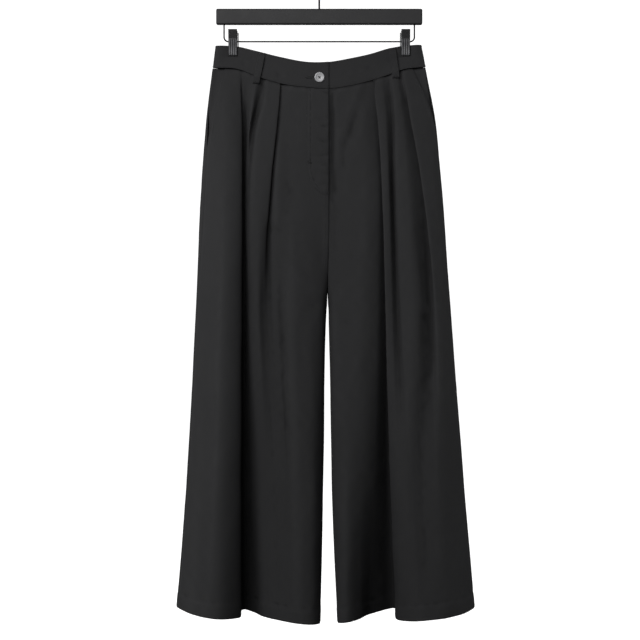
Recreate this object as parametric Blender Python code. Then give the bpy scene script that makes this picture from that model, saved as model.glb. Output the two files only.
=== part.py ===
"""Pleated wide leg trousers hanging by two clips from a bar hanger, as closed solids at real size.

Frame: metres, +Z up, the wearer's front faces -Y, and the origin is the inside top of the hook,
where a rail carries the hanger. In the tables below every length is in millimetres. "Across" is
measured along +X from the hook, "forward" is measured towards -Y from the plane of the hanger.
"""

import math
from collections import namedtuple

import bmesh
import bpy
import numpy as np

MM = 0.001

# Cloth
CLOTH = 1.0
BAND_WALL = 2.4
SEAM_GAP = 0.3
WAIST_GAP = 0.5
WAIST_PASSES = 3
SPAN_COLUMNS = 2
BACK_SPAN_COLUMNS = 3
BAND_SPAN_COLUMNS = 3
MOUTH_SPAN_COLUMNS = 4
PATCH = 0.22
PATCH_DOWN = 0.004
HEM_DROP_OUTSIDE = -1194.0
HEM_DROP_INSIDE = -1220.0
CROTCH = -634.6
CROTCH_ROW = 0.407
PANEL_ROWS = (0, 0.035, 0.075, 0.12, 0.17, 0.225, 0.29, 0.345, 0.385, CROTCH_ROW, 0.43, 0.48,
              0.55, 0.63, 0.72, 0.81, 0.9, 1)

# Hanger
BAR_SIZE = (382.0, 12.0, 29.3)
BAR_TOP = -84.5
BAR_CORNER = 2.6
HOOK_WIRE = 1.65
HOOK_INSIDE = 19.0
HOOK_LOW_ANGLE = 50.0
HOOK_TIP_ANGLE = 205.0
RAIL_WIRE = 1.35
RAIL_HEIGHT = -145.0
RAIL_HALF_SPAN = 176.4
RAIL_CORNER = 8.4
SOCKET_DEPTH = 10.0
CLIP_ACROSS = 160.1
CLIP_WIDTH = 16.4
JAW_PLATE = 1.3
RIB_COUNT = 4
RIB_RISE = 0.7
RIB_FLAT = 0.45
SPRING_RADIUS = 4.1
SPRING_LENGTH = 9.0
FIT_GAP = 0.3
ARC_STEP = math.radians(9)

# Closure
BUTTON_ACROSS = 0.4
BUTTON_HEIGHT = -213.0
BUTTON_RADIUS = 9.4
BUTTON_THICK = 3.0
BUTTON_EDGE = 0.7
BUTTON_HOLE = 1.0
BUTTON_HOLE_OUT = 1.9
FLY_EDGE = 17.9
FLY_WIDTH = 40.4
FLY_TOP = -234.4
FLY_BEND = -371.0
FLY_END = -432.0
FLY_LIFT = 0.45
FLY_ROWS = (0, 0.2, 0.4, 0.6, 0.7, 0.8, 0.88, 0.94, 0.98)
FLY_COLUMNS = (0, 0.25, 0.5, 0.75, 1)

# Belt loops
LOOP_WIDTH = 13.0
LOOP_WALL = 1.5
LOOP_STAND = 3.0
LOOP_SEAT = 0.4
LOOP_START = 1.5
LOOP_ROWS = (0, 0.07, 0.15, 0.3, 0.5, 0.7, 0.85, 0.93, 1)

Colour = namedtuple("Colour", "name red green blue roughness metallic")
CHARCOAL = Colour("charcoal_twill", 0.030, 0.030, 0.031, 0.92, 0.0)
BLACK_BAR = Colour("black_satin_bar", 0.022, 0.022, 0.023, 0.38, 0.0)
BLACK_WIRE = Colour("black_wire", 0.012, 0.012, 0.013, 0.35, 0.6)
CLIP_STEEL = Colour("clip_black_steel", 0.020, 0.020, 0.021, 0.33, 0.8)
BUTTON_GREY = Colour("button_grey", 0.36, 0.36, 0.37, 0.35, 0.0)

# Heights at which each fold line states where it runs: seam, pocket, hip, crotch, knee, hem
LEVELS = (-215.0, -285.0, -370.0, -625.0, -905.0, -1205.0)

FoldLine = namedtuple("FoldLine", "name across forward")

# From the centre front out to the side seam. A pleat is an edge that lies over its tuck.
LEFT_FRONT = (
    FoldLine("inner round", (2, 2, 2, 6, 3.5, 0.5), (13.2, 20, 27, 22, 18, 22)),
    FoldLine("inner panel", (-25, -25, -25, -16, -11, -12), (12.4, 19, 27, 33, 36, 42)),
    FoldLine("soft trough", (-53, -57, -59, -53, -35, -31), (10.4, 16, 25, 38, 43, 49)),
    FoldLine("inner ridge", (-65, -70, -77, -80, -62, -53), (6.4, 13, 24, 37, 38, 45)),
    FoldLine("inner pleat tuck", (-78, -82, -89, -92, -79, -70), (5.2, 9, 17, 31, 31, 37)),
    FoldLine("inner pleat edge", (-71, -76, -85, -100, -88, -78), (10.2, 19, 30, 34, 25, 31)),
    FoldLine("pleat face", (-86, -94, -104, -112, -102, -92), (9.9, 20, 33, 41, 19, 20)),
    FoldLine("pleat outer edge", (-98, -112, -122, -123, -116, -107), (8.8, 17, 29, 36, 10, 2)),
    FoldLine("crease", (-103.5, -118, -129, -130, -127, -118), (4.4, 6.5, 15, 22, -6, -22)),
    FoldLine("wedge", (-117, -126, -134, -134, -133, -128), (9.2, 15, 13, 9, -18, -39)),
    FoldLine("main valley", (-140, -138, -139, -139, -140, -140), (5.6, 3, 1, -4, -26, -50)),
    FoldLine("main valley tuck", (-143, -146, -148, -149, -150, -148), (5.6, 7, 10, 6, 1, -12)),
    FoldLine("lobe edge", (-147, -142.5, -141.5, -142.5, -144, -145), (7.2, 17, 27, 38, 45, 42)),
    FoldLine("lobe crest", (-164, -167, -170, -175, -181, -184), (7.5, 25, 38, 57, 72, 84)),
    FoldLine("lobe shoulder", (-186, -190, -193, -202, -212, -229), (5, 18, 27, 36, 46, 62)),
    FoldLine("side seam", (-199.6, -206, -209, -225, -240, -263), (1.4, 7, 11, 8, 5, 2)),
)

# Behind, from the side seam in to the centre back
LEFT_BACK = (
    FoldLine("side turn", (-200.2, -208.6, -216, -228, -242.5, -265.5), (-3, -3, -3, -6, -8, -10)),
    FoldLine("hip back", (-180, -187, -193, -203, -214, -234), (-7, -16, -22, -38, -52, -66)),
    FoldLine("outer fold", (-140, -142, -145, -148, -150, -152), (-10, -23, -34, -58, -78, -98)),
    FoldLine("back hollow", (-105, -107, -108, -108, -104, -98), (-10.6, -20, -29, -46, -57, -64)),
    FoldLine("inner fold", (-65, -65, -64, -60, -55, -48), (-12, -24, -37, -60, -71, -82)),
    FoldLine("seat", (-32, -32, -30, -22, -18, -15), (-13, -24, -36, -46, -49, -56)),
    FoldLine("seat round", (-10, -8, -3, 6, 3, 0), (-13.6, -23, -34, -24, -20, -27)),
)

RIGHT_FRONT = (
    FoldLine("inner round", (27, 27, 25, 25, 28.5, 36), (11.2, 17, 23, 21, 20, 17)),
    FoldLine("inner panel", (49, 52, 58, 52, 48, 50), (11.6, 18, 26, 33, 34, 23)),
    FoldLine("panel fall", (73, 79, 86, 81, 73, 75), (10.9, 19, 28, 38, 31, 0)),
    FoldLine("valley slope", (91, 98, 105, 107, 103, 94), (8.6, 14, 23, 30, 12, -38)),
    FoldLine("main valley", (105, 113, 120, 125, 129, 140), (5.2, 7, 11, 9, -24, -84)),
    FoldLine("main valley tuck", (108, 117, 124, 130, 136, 149), (6.4, 10, 15, 18, 8, -40)),
    FoldLine("inner pleat edge", (98, 107, 113, 121, 128, 140.5), (10, 18, 27, 36, 44, 26)),
    FoldLine("inner pleat face", (114, 121, 125, 132, 138, 147), (9.6, 20, 29, 37, 57, 55)),
    FoldLine("outer valley", (129, 135, 136, 143, 151, 162), (5.8, 11, 16, 28, 64, 74)),
    FoldLine("lobe edge", (135, 140, 141, 150, 164, 178), (8.8, 20, 29, 44, 69, 84)),
    FoldLine("lobe crest", (145, 152, 159, 174, 188, 204), (8.4, 21, 32, 52, 72, 87)),
    FoldLine("outer pleat tuck", (152, 169, 186, 206, 212, 228), (4.8, 10.5, 17, 31, 63, 82)),
    FoldLine("outer pleat edge", (158, 167, 182, 212, 223, 245), (8.2, 20, 30, 41, 58, 71)),
    FoldLine("lobe shoulder", (174, 191, 204, 229, 244, 265), (6.4, 17, 25, 32, 41, 52)),
    FoldLine("side seam", (200.4, 213, 222.5, 242, 263.5, 288.5), (1.4, 4, 4, 2, 2, 0)),
)

RIGHT_BACK = (
    FoldLine("side turn", (200.6, 213, 221, 241, 262, 287), (-3, -5, -7, -11, -14, -17)),
    FoldLine("hip back", (180, 191, 199, 215, 232, 254), (-7, -16, -23, -38, -53, -68)),
    FoldLine("outer fold", (146, 150, 153, 160, 165, 176), (-9.6, -23, -34, -58, -80, -102)),
    FoldLine("back hollow", (108, 112, 116, 122, 128, 138), (-10.6, -20, -29, -50, -68, -104)),
    FoldLine("inner fold", (66, 70, 74, 80, 86, 92), (-12, -24, -37, -61, -74, -90)),
    FoldLine("seat", (34, 38, 44, 54, 58, 62), (-13, -24, -36, -46, -52, -62)),
    FoldLine("seat round", (12, 16, 22, 27, 30, 38), (-13.6, -23, -34, -24, -20, -27)),
)

# Inner edges of the four panels. Above the crotch they are the centre seams, below it the inseams.
InnerEdge = namedtuple("InnerEdge", "height front_left front_right back front lap behind part")
INNER_EDGES = (
    InnerEdge(-215, 17.2, 9.0, 0.0, 13.4, 2.0, -13.6, 0.15),
    InnerEdge(-300, 17.3, 9.0, 2.5, 21.5, 2.0, -22.0, 0.15),
    InnerEdge(-424, 17.3, 10.0, 7.0, 27.0, 2.0, -33.0, 0.15),
    InnerEdge(-490, 17.0, 14.0, 9.5, 26.5, 2.0, -34.0, 0.15),
    InnerEdge(-530, 16.4, 17.0, 11.5, 24.0, 1.6, -31.0, 0.15),
    InnerEdge(-580, 15.6, 16.2, 13.5, 17.0, 0.4, -23.0, 0.2),
    InnerEdge(-615, 15.0, 16.0, 15.0, 8.0, 0.0, -11.0, 0.4),
    InnerEdge(CROTCH, 14.4, 16.4, 15.4, 0.0, 0.0, 0.0, 1.0),
    InnerEdge(-660, 13.2, 17.0, 15.1, 0.0, 0.0, 0.0, 1.9),
    InnerEdge(-774, 10.2, 19.6, 14.9, 0.0, 0.0, 0.0, 4.7),
    InnerEdge(-885, 9.4, 21.2, 15.3, 0.0, 0.0, 0.0, 5.9),
    InnerEdge(-997, 7.2, 23.4, 15.3, 0.0, 0.0, 0.0, 8.1),
    InnerEdge(-1108, 5.4, 27.8, 16.6, 0.0, 0.0, 0.0, 11.2),
    InnerEdge(-1220, 1.8, 33.4, 17.6, 0.0, 0.0, 0.0, 15.8),
)

# The waistband's upper and lower edge
WaistLine = namedtuple("WaistLine", "across top seam")
WAIST_LINE = (
    WaistLine(-200, -152.3, -194.0),
    WaistLine(-150, -154.4, -197.0),
    WaistLine(-120, -162.0, -208.5),
    WaistLine(-72, -174.6, -223.8),
    WaistLine(-20, -184.3, -231.4),
    WaistLine(8, -184.6, -233.6),
    WaistLine(60, -176.6, -227.4),
    WaistLine(95, -168.5, -218.4),
    WaistLine(130, -157.6, -206.8),
    WaistLine(155, -153.0, -197.6),
    WaistLine(200, -150.4, -192.2),
)

# The waistband all the way round, from its overlap at the button
BandKey = namedtuple("BandKey", "name top_across seam_across top_forward seam_forward")
BAND = (
    BandKey("overlap edge", 17.4, 17.4, 14.6, 14.6),
    BandKey("button", -4, -4, 14.4, 14.4),
    BandKey("left front", -52, -52, 12.2, 12.6),
    BandKey("left pleats", -108, -110, 7.4, 10.4),
    BandKey("left clip inside", -148, -150, 2.8, 8.9),
    BandKey("left clip outside", -171, -174, 2.8, 7.6),
    BandKey("left hip", -184, -189, 3.8, 5.6),
    BandKey("left side", -192.4, -197.6, 0.4, 1.4),
    BandKey("left hip behind", -184, -189, -3.8, -5.8),
    BandKey("left clip outside behind", -171, -174, -2.8, -7.9),
    BandKey("left clip inside behind", -148, -150, -2.8, -9.5),
    BandKey("left back", -108, -110, -7.6, -11.4),
    BandKey("left seat", -52, -52, -12.2, -13.4),
    BandKey("centre back", 0, 0, -13.6, -14.6),
    BandKey("right seat", 52, 52, -12.2, -13.4),
    BandKey("right back", 108, 110, -7.6, -11.4),
    BandKey("right clip inside behind", 148, 150, -2.8, -9.5),
    BandKey("right clip outside behind", 170, 174, -2.8, -7.9),
    BandKey("right hip behind", 182, 189, -3.8, -5.8),
    BandKey("right side", 189.6, 197.6, 0.4, 1.4),
    BandKey("right hip", 182, 189, 3.8, 5.6),
    BandKey("right clip outside", 170, 174, 2.8, 7.6),
    BandKey("right clip inside", 148, 150, 2.8, 8.9),
    BandKey("right pleats", 108, 110, 7.4, 10.0),
    BandKey("right front", 52, 52, 11.6, 11.9),
    BandKey("underlap", 24, 24, 11.5, 11.5),
    BandKey("underlap edge", 6, 6, 11.4, 11.4),
)
LEFT_SIDE_KEY = 7
RIGHT_SIDE_KEY = 19
LAST_BAND_KEY = len(BAND) - 1
BAND_ROWS = (0, 0.2, 0.42, 0.62, 0.82, 1)
BAND_FLAT = 0.42
BAND_FLARE = 1.5

# How far the pocket mouth cuts into the front, counted in fold lines in from the side seam
PocketMouth = namedtuple("PocketMouth", "cut end")
LEFT_POCKET = PocketMouth(1.45, -346.0)
RIGHT_POCKET = PocketMouth(0.85, -312.0)
POCKET_TOP = -195.0
POCKET_UNDERLAP = 0.3
POCKET_BEHIND = 2.0
POCKET_FLUSH = 0.4
POCKET_STOP = 0.93
POCKET_LAST_ROW = 0.8
POCKET_COLUMNS = (0, 0.3, 0.55, 0.8, 1)

# Jaw profile, from the tip up to the grip: height, and the inner face's distance from the middle
JawPoint = namedtuple("JawPoint", "height inside ribbed")
JAW = (
    JawPoint(-171.5, 3.3, 1),
    JawPoint(-153.0, 3.3, 1),
    JawPoint(-147.0, 4.6, 1),
    JawPoint(-142.0, 5.3, 1),
    JawPoint(-141.0, 5.5, 0),
    JawPoint(-123.0, 9.4, 0),
)

LoopPlace = namedtuple("LoopPlace", "name behind top_across low_across low_drop lean")
LOOPS = (
    LoopPlace("belt_loop_front_left", False, -106.5, -116.5, 14.0, 0.03),
    LoopPlace("belt_loop_front_right", False, 136.0, 141.5, 11.0, 0.06),
    LoopPlace("belt_loop_back_left", True, -118.0, -118.0, 7.0, 0.3),
    LoopPlace("belt_loop_back_centre", True, 0.0, 0.0, 5.0, 0.5),
    LoopPlace("belt_loop_back_right", True, 118.0, 118.0, 7.0, 0.3),
)


# ---------------------------------------------------------------- curves

def slopes(places, values):
    """Slope of a smooth curve at each of its points, from the slopes of the spans beside it."""
    spans = np.diff(places)
    rises = np.diff(values) / spans
    middle = (rises[:-1] * spans[1:] + rises[1:] * spans[:-1]) / (spans[:-1] + spans[1:])
    return np.concatenate([rises[:1], middle, rises[-1:]])


def smooth(places, values, wanted):
    """Value of the smooth curve through (places, values), which runs on straight past its ends."""
    order = np.argsort(places)
    places = np.asarray(places, float)[order]
    values = np.asarray(values, float)[order]
    wanted = np.asarray(wanted, float)
    slope = slopes(places, values)
    inside = np.clip(wanted, places[0], places[-1])
    left = np.clip(np.searchsorted(places, inside) - 1, 0, len(places) - 2)
    span = places[left + 1] - places[left]
    t = (inside - places[left]) / span
    blend = t * t * (3 - 2 * t)
    curve = values[left] * (1 - blend) + values[left + 1] * blend
    curve += span * t * (1 - t) * ((1 - t) * slope[left] - t * slope[left + 1])
    past = wanted - inside
    return curve + past * np.where(past < 0, slope[0], slope[-1])


def between(keys, places):
    """Points on the centripetal spline through keys (key, point, axis), at places counted in keys."""
    keys = np.concatenate([2 * keys[:1] - keys[1:2], keys, 2 * keys[-1:] - keys[-2:-1]])
    first = np.clip(np.floor(places).astype(int), 0, len(keys) - 4)
    t = (places - first)[:, None]
    each = np.arange(len(places))
    p0, p1, p2, p3 = (keys[first + step, each] for step in range(4))
    knots = [np.zeros((len(places), 1))]
    for near, far in ((p0, p1), (p1, p2), (p2, p3)):
        step = np.sqrt(np.linalg.norm(far - near, axis=1, keepdims=True))
        knots.append(knots[-1] + np.maximum(step, 1e-6))
    k0, k1, k2, k3 = knots
    at = k1 + (k2 - k1) * t
    a1 = p0 + (p1 - p0) * (at - k0) / (k1 - k0)
    a2 = p1 + (p2 - p1) * (at - k1) / (k2 - k1)
    a3 = p2 + (p3 - p2) * (at - k2) / (k3 - k2)
    b1 = a1 + (a2 - a1) * (at - k0) / (k2 - k0)
    b2 = a2 + (a3 - a2) * (at - k1) / (k3 - k1)
    return b1 + (b2 - b1) * (at - k1) / (k2 - k1)


# ---------------------------------------------------------------- the legs

def edge_column(name, heights):
    """One column of the table of inner edges, read at these heights."""
    table = [row.height for row in INNER_EDGES]
    return smooth(table, [getattr(row, name) for row in INNER_EDGES], heights)


def inner_edge(left, behind, heights):
    """Where one panel's inner edge runs: across and forward."""
    if behind:
        side = -1 if left else 1
        across = edge_column("back", heights) + side * edge_column("part", heights)
        forward = edge_column("behind", heights) - SEAM_GAP / 2
    else:
        across = edge_column("front_left" if left else "front_right", heights)
        forward = edge_column("front", heights) + SEAM_GAP / 2
        if not left:
            forward = forward - edge_column("lap", heights)
    return np.stack([across, forward], axis=-1)


def fold_point(line, heights):
    across = smooth(LEVELS, line.across, heights)
    forward = smooth(LEVELS, line.forward, heights)
    return np.stack([across, forward], axis=-1)


def leg_lines(left):
    return (LEFT_FRONT + LEFT_BACK) if left else (RIGHT_FRONT + RIGHT_BACK)


def side_key(left):
    """Number of the side seam among a leg's fold lines, whose inner front edge is number 0."""
    return len(LEFT_FRONT if left else RIGHT_FRONT)


def last_key(left):
    return len(leg_lines(left)) + 1


def section(left, places, heights):
    """Across and forward of the leg's outside, at places counted in fold lines and at heights."""
    keys = [inner_edge(left, False, heights)]
    keys += [fold_point(line, heights) for line in leg_lines(left)]
    keys += [inner_edge(left, True, heights)]
    return between(np.array(keys), np.clip(places, 0, last_key(left)))


def waist_height(column, across):
    table = [row.across for row in WAIST_LINE]
    return smooth(table, [getattr(row, column) for row in WAIST_LINE], across)


def leg_heights(left, places, rows):
    """Heights of points at places round a leg, a share of the way from the waist seam to the hem."""
    top = np.full(len(places), float(LEVELS[0]))
    for _ in range(WAIST_PASSES):
        top = waist_height("seam", section(left, places, top)[:, 0]) - WAIST_GAP
    at_hem = section(left, places, np.full(len(places), float(LEVELS[-1])))[:, 0]
    ends = section(left, np.array([side_key(left), 0.0]), np.full(2, float(LEVELS[-1])))[:, 0]
    share = np.clip((at_hem - ends[0]) / (ends[1] - ends[0]), 0, 1)
    low = HEM_DROP_OUTSIDE + (HEM_DROP_INSIDE - HEM_DROP_OUTSIDE) * share
    above = top + (CROTCH - top) * rows / CROTCH_ROW
    below = CROTCH + (low - CROTCH) * (rows - CROTCH_ROW) / (1 - CROTCH_ROW)
    return np.where(rows < CROTCH_ROW, above, below)


def leg_points(left, places, rows):
    """Points of a leg's outside. Places and rows are grids of one shape."""
    flat = np.clip(places, 0, last_key(left)).ravel()
    heights = leg_heights(left, flat, rows.ravel())
    plan = section(left, flat, heights)
    return np.stack([plan[:, 0], -plan[:, 1], heights], axis=-1).reshape(places.shape + (3,))


def leg_normals(left, places, rows):
    """Unit normals that point out of the leg, smoothed over a small patch of it."""
    across = leg_points(left, places + PATCH, rows) - leg_points(left, places - PATCH, rows)
    down = leg_points(left, places, rows + PATCH_DOWN) - leg_points(left, places, rows - PATCH_DOWN)
    normal = np.cross(across, down) * (1 if left else -1)
    return normal / np.maximum(np.linalg.norm(normal, axis=-1, keepdims=True), 1e-12)


def square_inner_edge(normals, grid, column, left):
    """Turns an inner edge's normals so that it meets its neighbour squarely at the seam."""
    edge = normals[column]
    height = grid[column][:, 2]
    edge[height > CROTCH + 1, 0] = 0
    edge[height < CROTCH - 1] = (1.0 if left else -1.0, 0, 0)
    edge[np.abs(height - CROTCH) <= 1] = (0, 0, -1)
    normals[column] = edge / np.linalg.norm(edge, axis=-1, keepdims=True)
    return normals


def level_rows(normals, rows):
    """Turns the normals of these rows level, so that a cut edge stays at its own height."""
    for row in rows:
        normals[:, row, 2] = 0
        normals[:, row] /= np.linalg.norm(normals[:, row], axis=-1, keepdims=True)
    return normals


# ---------------------------------------------------------------- solids

def fresh_scene():
    for thing in list(bpy.data.objects):
        bpy.data.objects.remove(thing, do_unlink=True)


def material(colour):
    made = bpy.data.materials.get(colour.name)
    if made:
        return made
    made = bpy.data.materials.new(colour.name)
    made.use_nodes = True
    made.diffuse_color = (colour.red, colour.green, colour.blue, 1)
    shader = made.node_tree.nodes["Principled BSDF"]
    shader.inputs["Base Color"].default_value = (colour.red, colour.green, colour.blue, 1)
    shader.inputs["Roughness"].default_value = colour.roughness
    shader.inputs["Metallic"].default_value = colour.metallic
    return made


def add_object(name, mesh, colour):
    made = bpy.data.objects.new(name, mesh)
    bpy.context.scene.collection.objects.link(made)
    mesh.materials.append(material(colour))
    return made


def solid_from(name, points, faces, colour):
    """One object from points in millimetres and faces, with its faces turned to point out."""
    mesh = bpy.data.meshes.new(name)
    shape = bmesh.new()
    corners = [shape.verts.new(np.asarray(point) * MM) for point in points]
    for face in faces:
        shape.faces.new([corners[number] for number in face])
    bmesh.ops.recalc_face_normals(shape, faces=shape.faces)
    shape.to_mesh(mesh)
    shape.free()
    mesh.shade_smooth()
    mesh.set_sharp_from_angle(angle=math.radians(50))
    return add_object(name, mesh, colour)


def wall(name, outer, inner, colour):
    """A closed sheet between two grids of the same size."""
    columns, rows = outer.shape[:2]
    points = np.concatenate([outer.reshape(-1, 3), inner.reshape(-1, 3)])
    back = columns * rows
    faces = []
    for column in range(columns - 1):
        for row in range(rows - 1):
            one = column * rows + row
            for face in ((one, one + 1, one + rows + 1), (one, one + rows + 1, one + rows)):
                faces.append(face)
                faces.append(tuple(back + number for number in reversed(face)))
    rim = [(0, row) for row in range(rows)]
    rim += [(column, rows - 1) for column in range(1, columns)]
    rim += [(columns - 1, row) for row in range(rows - 2, -1, -1)]
    rim += [(column, 0) for column in range(columns - 2, 0, -1)]
    numbers = [column * rows + row for column, row in rim]
    for here, there in zip(numbers, numbers[1:] + numbers[:1]):
        faces.append((here, back + here, back + there, there))
    return solid_from(name, points, faces, colour)


def spaced(start, stop, per_span=SPAN_COLUMNS):
    """Places from start to stop, the same number in each span between two fold lines."""
    inner = np.arange(math.floor(start) * per_span + 1, math.ceil(stop) * per_span) / per_span
    return [start] + [place for place in inner if start < place < stop] + [stop]


def seam_share(left, rows):
    """Share of a span that half a seam's gap takes at the side seam, in each row."""
    side = np.full(len(rows), float(side_key(left)))
    step = leg_points(left, side + 0.1, rows) - leg_points(left, side - 0.1, rows)
    return 0.2 * (SEAM_GAP / 2 + 0.05) / np.linalg.norm(step, axis=-1)


def pocket_cut(left, rows):
    """How many fold lines the pocket mouth takes off the front, in each row."""
    pocket = LEFT_POCKET if left else RIGHT_POCKET
    side = np.full(len(rows), float(side_key(left)))
    heights = leg_heights(left, side, rows)
    share = (heights - pocket.end) / (POCKET_TOP - pocket.end)
    return pocket.cut * np.clip(share, 0, 1.05)


def front_places(left, rows):
    """Grid of places of a front panel, whose outer columns follow the slant of the pocket mouth."""
    side = side_key(left)
    edge = side - np.maximum(pocket_cut(left, rows), seam_share(left, rows))
    columns = [np.full(len(rows), place) for place in spaced(0, side - 2)]
    shares = np.arange(1, 2 * MOUTH_SPAN_COLUMNS + 1) / (2 * MOUTH_SPAN_COLUMNS)
    columns += [(side - 2) * (1 - share) + edge * share for share in shares]
    return np.array(columns, float)


def back_places(left, rows):
    edge = side_key(left) + seam_share(left, rows)
    inner = spaced(side_key(left), last_key(left), BACK_SPAN_COLUMNS)[1:]
    return np.array([edge] + [np.full(len(rows), place) for place in inner], float)


def make_panel(left, behind):
    rows = np.array(PANEL_ROWS, float)
    places = back_places(left, rows) if behind else front_places(left, rows)
    rows = np.broadcast_to(rows, places.shape)
    grid = leg_points(left, places, rows)
    normals = level_rows(leg_normals(left, places, rows), (0, -1))
    normals = square_inner_edge(normals, grid, -1 if behind else 0, left)
    name = ("back_" if behind else "front_") + ("left" if left else "right")
    return wall(name, grid, grid - normals * CLOTH, CHARCOAL)


def make_pocket_side(left):
    """The piece that shows in the pocket mouth: it runs in behind the front's slanted edge."""
    pocket = LEFT_POCKET if left else RIGHT_POCKET
    side = side_key(left)
    depth = CROTCH_ROW * (POCKET_TOP - pocket.end) / (POCKET_TOP - CROTCH)
    rows = [row for row in PANEL_ROWS if row < POCKET_LAST_ROW * depth] + [POCKET_STOP * depth]
    rows = np.array(rows)
    mouth = pocket_cut(left, rows)
    inner = side - mouth - POCKET_UNDERLAP
    outer = side - seam_share(left, rows)
    places = np.array([inner * (1 - share) + outer * share for share in POCKET_COLUMNS])
    rows = np.broadcast_to(rows, places.shape)
    grid = leg_points(left, places, rows)
    normals = level_rows(leg_normals(left, places, rows), (0,))
    outward = np.clip(2 * np.array(POCKET_COLUMNS) - 1, 0, 1)
    flush = np.outer(outward, np.clip(mouth / POCKET_FLUSH - 1, 0, 1))
    face = grid - normals * (CLOTH + POCKET_BEHIND) * (1 - flush)[:, :, None]
    name = "pocket_side_left" if left else "pocket_side_right"
    return wall(name, face, face - normals * CLOTH, CHARCOAL)


def front_forward(across, height):
    """How far forward the viewer's left front lies, near the fly, at one height."""
    places = np.linspace(0, 4, 81)
    plan = section(True, places, np.full(len(places), height))
    return np.interp(across, plan[::-1, 0], plan[::-1, 1])


def make_fly():
    """The placket on the front, whose free side bends round to its end in a J."""
    outer = []
    for share in FLY_ROWS:
        height = FLY_TOP + (FLY_END - FLY_TOP) * share
        bend = np.clip((FLY_BEND - height) / (FLY_BEND - FLY_END), 0, 1)
        width = FLY_WIDTH * math.sqrt(1 - bend * bend)
        across = FLY_EDGE - width * (1 - np.array(FLY_COLUMNS))
        forward = front_forward(across, height) + FLY_LIFT + CLOTH
        outer.append([(x, -y, height) for x, y in zip(across, forward)])
    outer = np.array(outer).transpose(1, 0, 2)
    return wall("fly_placket", outer, outer + (0, CLOTH, 0), CHARCOAL)


# ---------------------------------------------------------------- the waistband

def band_points(places, rows):
    """Points of the waistband's outside. Places and rows are grids of one shape."""
    flat = np.clip(places, 0, LAST_BAND_KEY).ravel()
    down = rows.ravel()
    flare = np.clip((down - BAND_FLAT) / (1 - BAND_FLAT), 0, 1) ** BAND_FLARE
    keys = []
    for key in BAND:
        across = key.top_across + (key.seam_across - key.top_across) * down
        forward = key.top_forward + (key.seam_forward - key.top_forward) * flare
        keys.append(np.stack([across, forward], axis=-1))
    plan = between(np.array(keys), flat)
    top = waist_height("top", plan[:, 0])
    height = top + (waist_height("seam", plan[:, 0]) - top) * down
    return np.stack([plan[:, 0], -plan[:, 1], height], axis=-1).reshape(places.shape + (3,))


def band_normals(places, rows):
    across = band_points(places + PATCH, rows) - band_points(places - PATCH, rows)
    down = band_points(places, rows + PATCH) - band_points(places, rows - PATCH)
    normal = np.cross(across, down)
    return level_rows(normal, range(normal.shape[1]))


def band_share(key):
    """Share of a span that half a seam's gap takes at the band's side seams."""
    places = np.array([[key - 0.1], [key + 0.1]])
    ends = band_points(places, np.zeros(places.shape))
    return 0.2 * (SEAM_GAP / 2 + 0.05) / np.linalg.norm(ends[1] - ends[0])


def make_band(name, start, stop):
    columns = spaced(start, stop, BAND_SPAN_COLUMNS)
    rows, places = np.meshgrid(BAND_ROWS, columns)
    grid = band_points(places, rows)
    normals = band_normals(places, rows)
    sides = [column for column in (0, -1) if 0 < columns[column] < LAST_BAND_KEY]
    for column in sides:
        normals[column] = (math.copysign(1, grid[column, 0, 0]), 0, 0)
    inner = grid - normals * BAND_WALL
    toward = 1 if len(sides) == 2 else -1
    for column in sides:
        inner[:, :, 1] = toward * np.maximum(toward * inner[:, :, 1], toward * grid[column, :, 1])
    return wall(name, grid, inner, CHARCOAL)


def make_waistband():
    left = band_share(LEFT_SIDE_KEY)
    right = band_share(RIGHT_SIDE_KEY)
    make_band("waistband_front_left", 0, LEFT_SIDE_KEY - left)
    make_band("waistband_back", LEFT_SIDE_KEY + left, RIGHT_SIDE_KEY - right)
    make_band("waistband_front_right", RIGHT_SIDE_KEY + right, LAST_BAND_KEY)


def band_forward(across, row, behind):
    """How far forward the waistband's outside lies, at a distance across and a share down it."""
    if behind:
        places = np.linspace(LEFT_SIDE_KEY + 1, RIGHT_SIDE_KEY - 1, 201)
    elif across < BAND[0].top_across:
        places = np.linspace(LEFT_SIDE_KEY - 1, 0, 121)
    else:
        places = np.linspace(LAST_BAND_KEY, RIGHT_SIDE_KEY + 1, 121)
    points = band_points(places, np.full(len(places), min(row, 1.0)))
    return np.interp(across, points[:, 0], -points[:, 1])


def make_loop(loop):
    """A belt loop: sewn down at both ends and just clear of the band between them."""
    toward = 1 if loop.behind else -1
    top = waist_height("top", loop.top_across) - LOOP_START
    low = waist_height("seam", loop.low_across) - loop.low_drop
    outer = []
    for share in LOOP_ROWS:
        height = top + (low - top) * share
        middle = loop.top_across + (loop.low_across - loop.top_across) * share
        stand = LOOP_SEAT + (LOOP_STAND - LOOP_SEAT) * min(1.0, 1.6 * math.sin(math.pi * share))
        line = []
        for across in (middle - LOOP_WIDTH / 2, middle, middle + LOOP_WIDTH / 2):
            band_top = waist_height("top", across)
            row = (band_top - height) / (band_top - waist_height("seam", across))
            base = abs(band_forward(across, max(float(row), 0), loop.behind))
            base += loop.lean * max(waist_height("seam", across) - height, 0)
            line.append((across, toward * (base + stand + LOOP_WALL), height))
        outer.append(line)
    outer = np.array(outer, float).transpose(1, 0, 2)
    return wall(loop.name, outer, outer - (0, toward * LOOP_WALL, 0), CHARCOAL)


def hide_cutter(cutter):
    cutter.hide_render = True
    cutter.display_type = "WIRE"
    return cutter


def cut(target, cutter):
    modifier = target.modifiers.new("cut " + cutter.name, "BOOLEAN")
    modifier.operation = "DIFFERENCE"
    modifier.object = cutter


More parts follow.
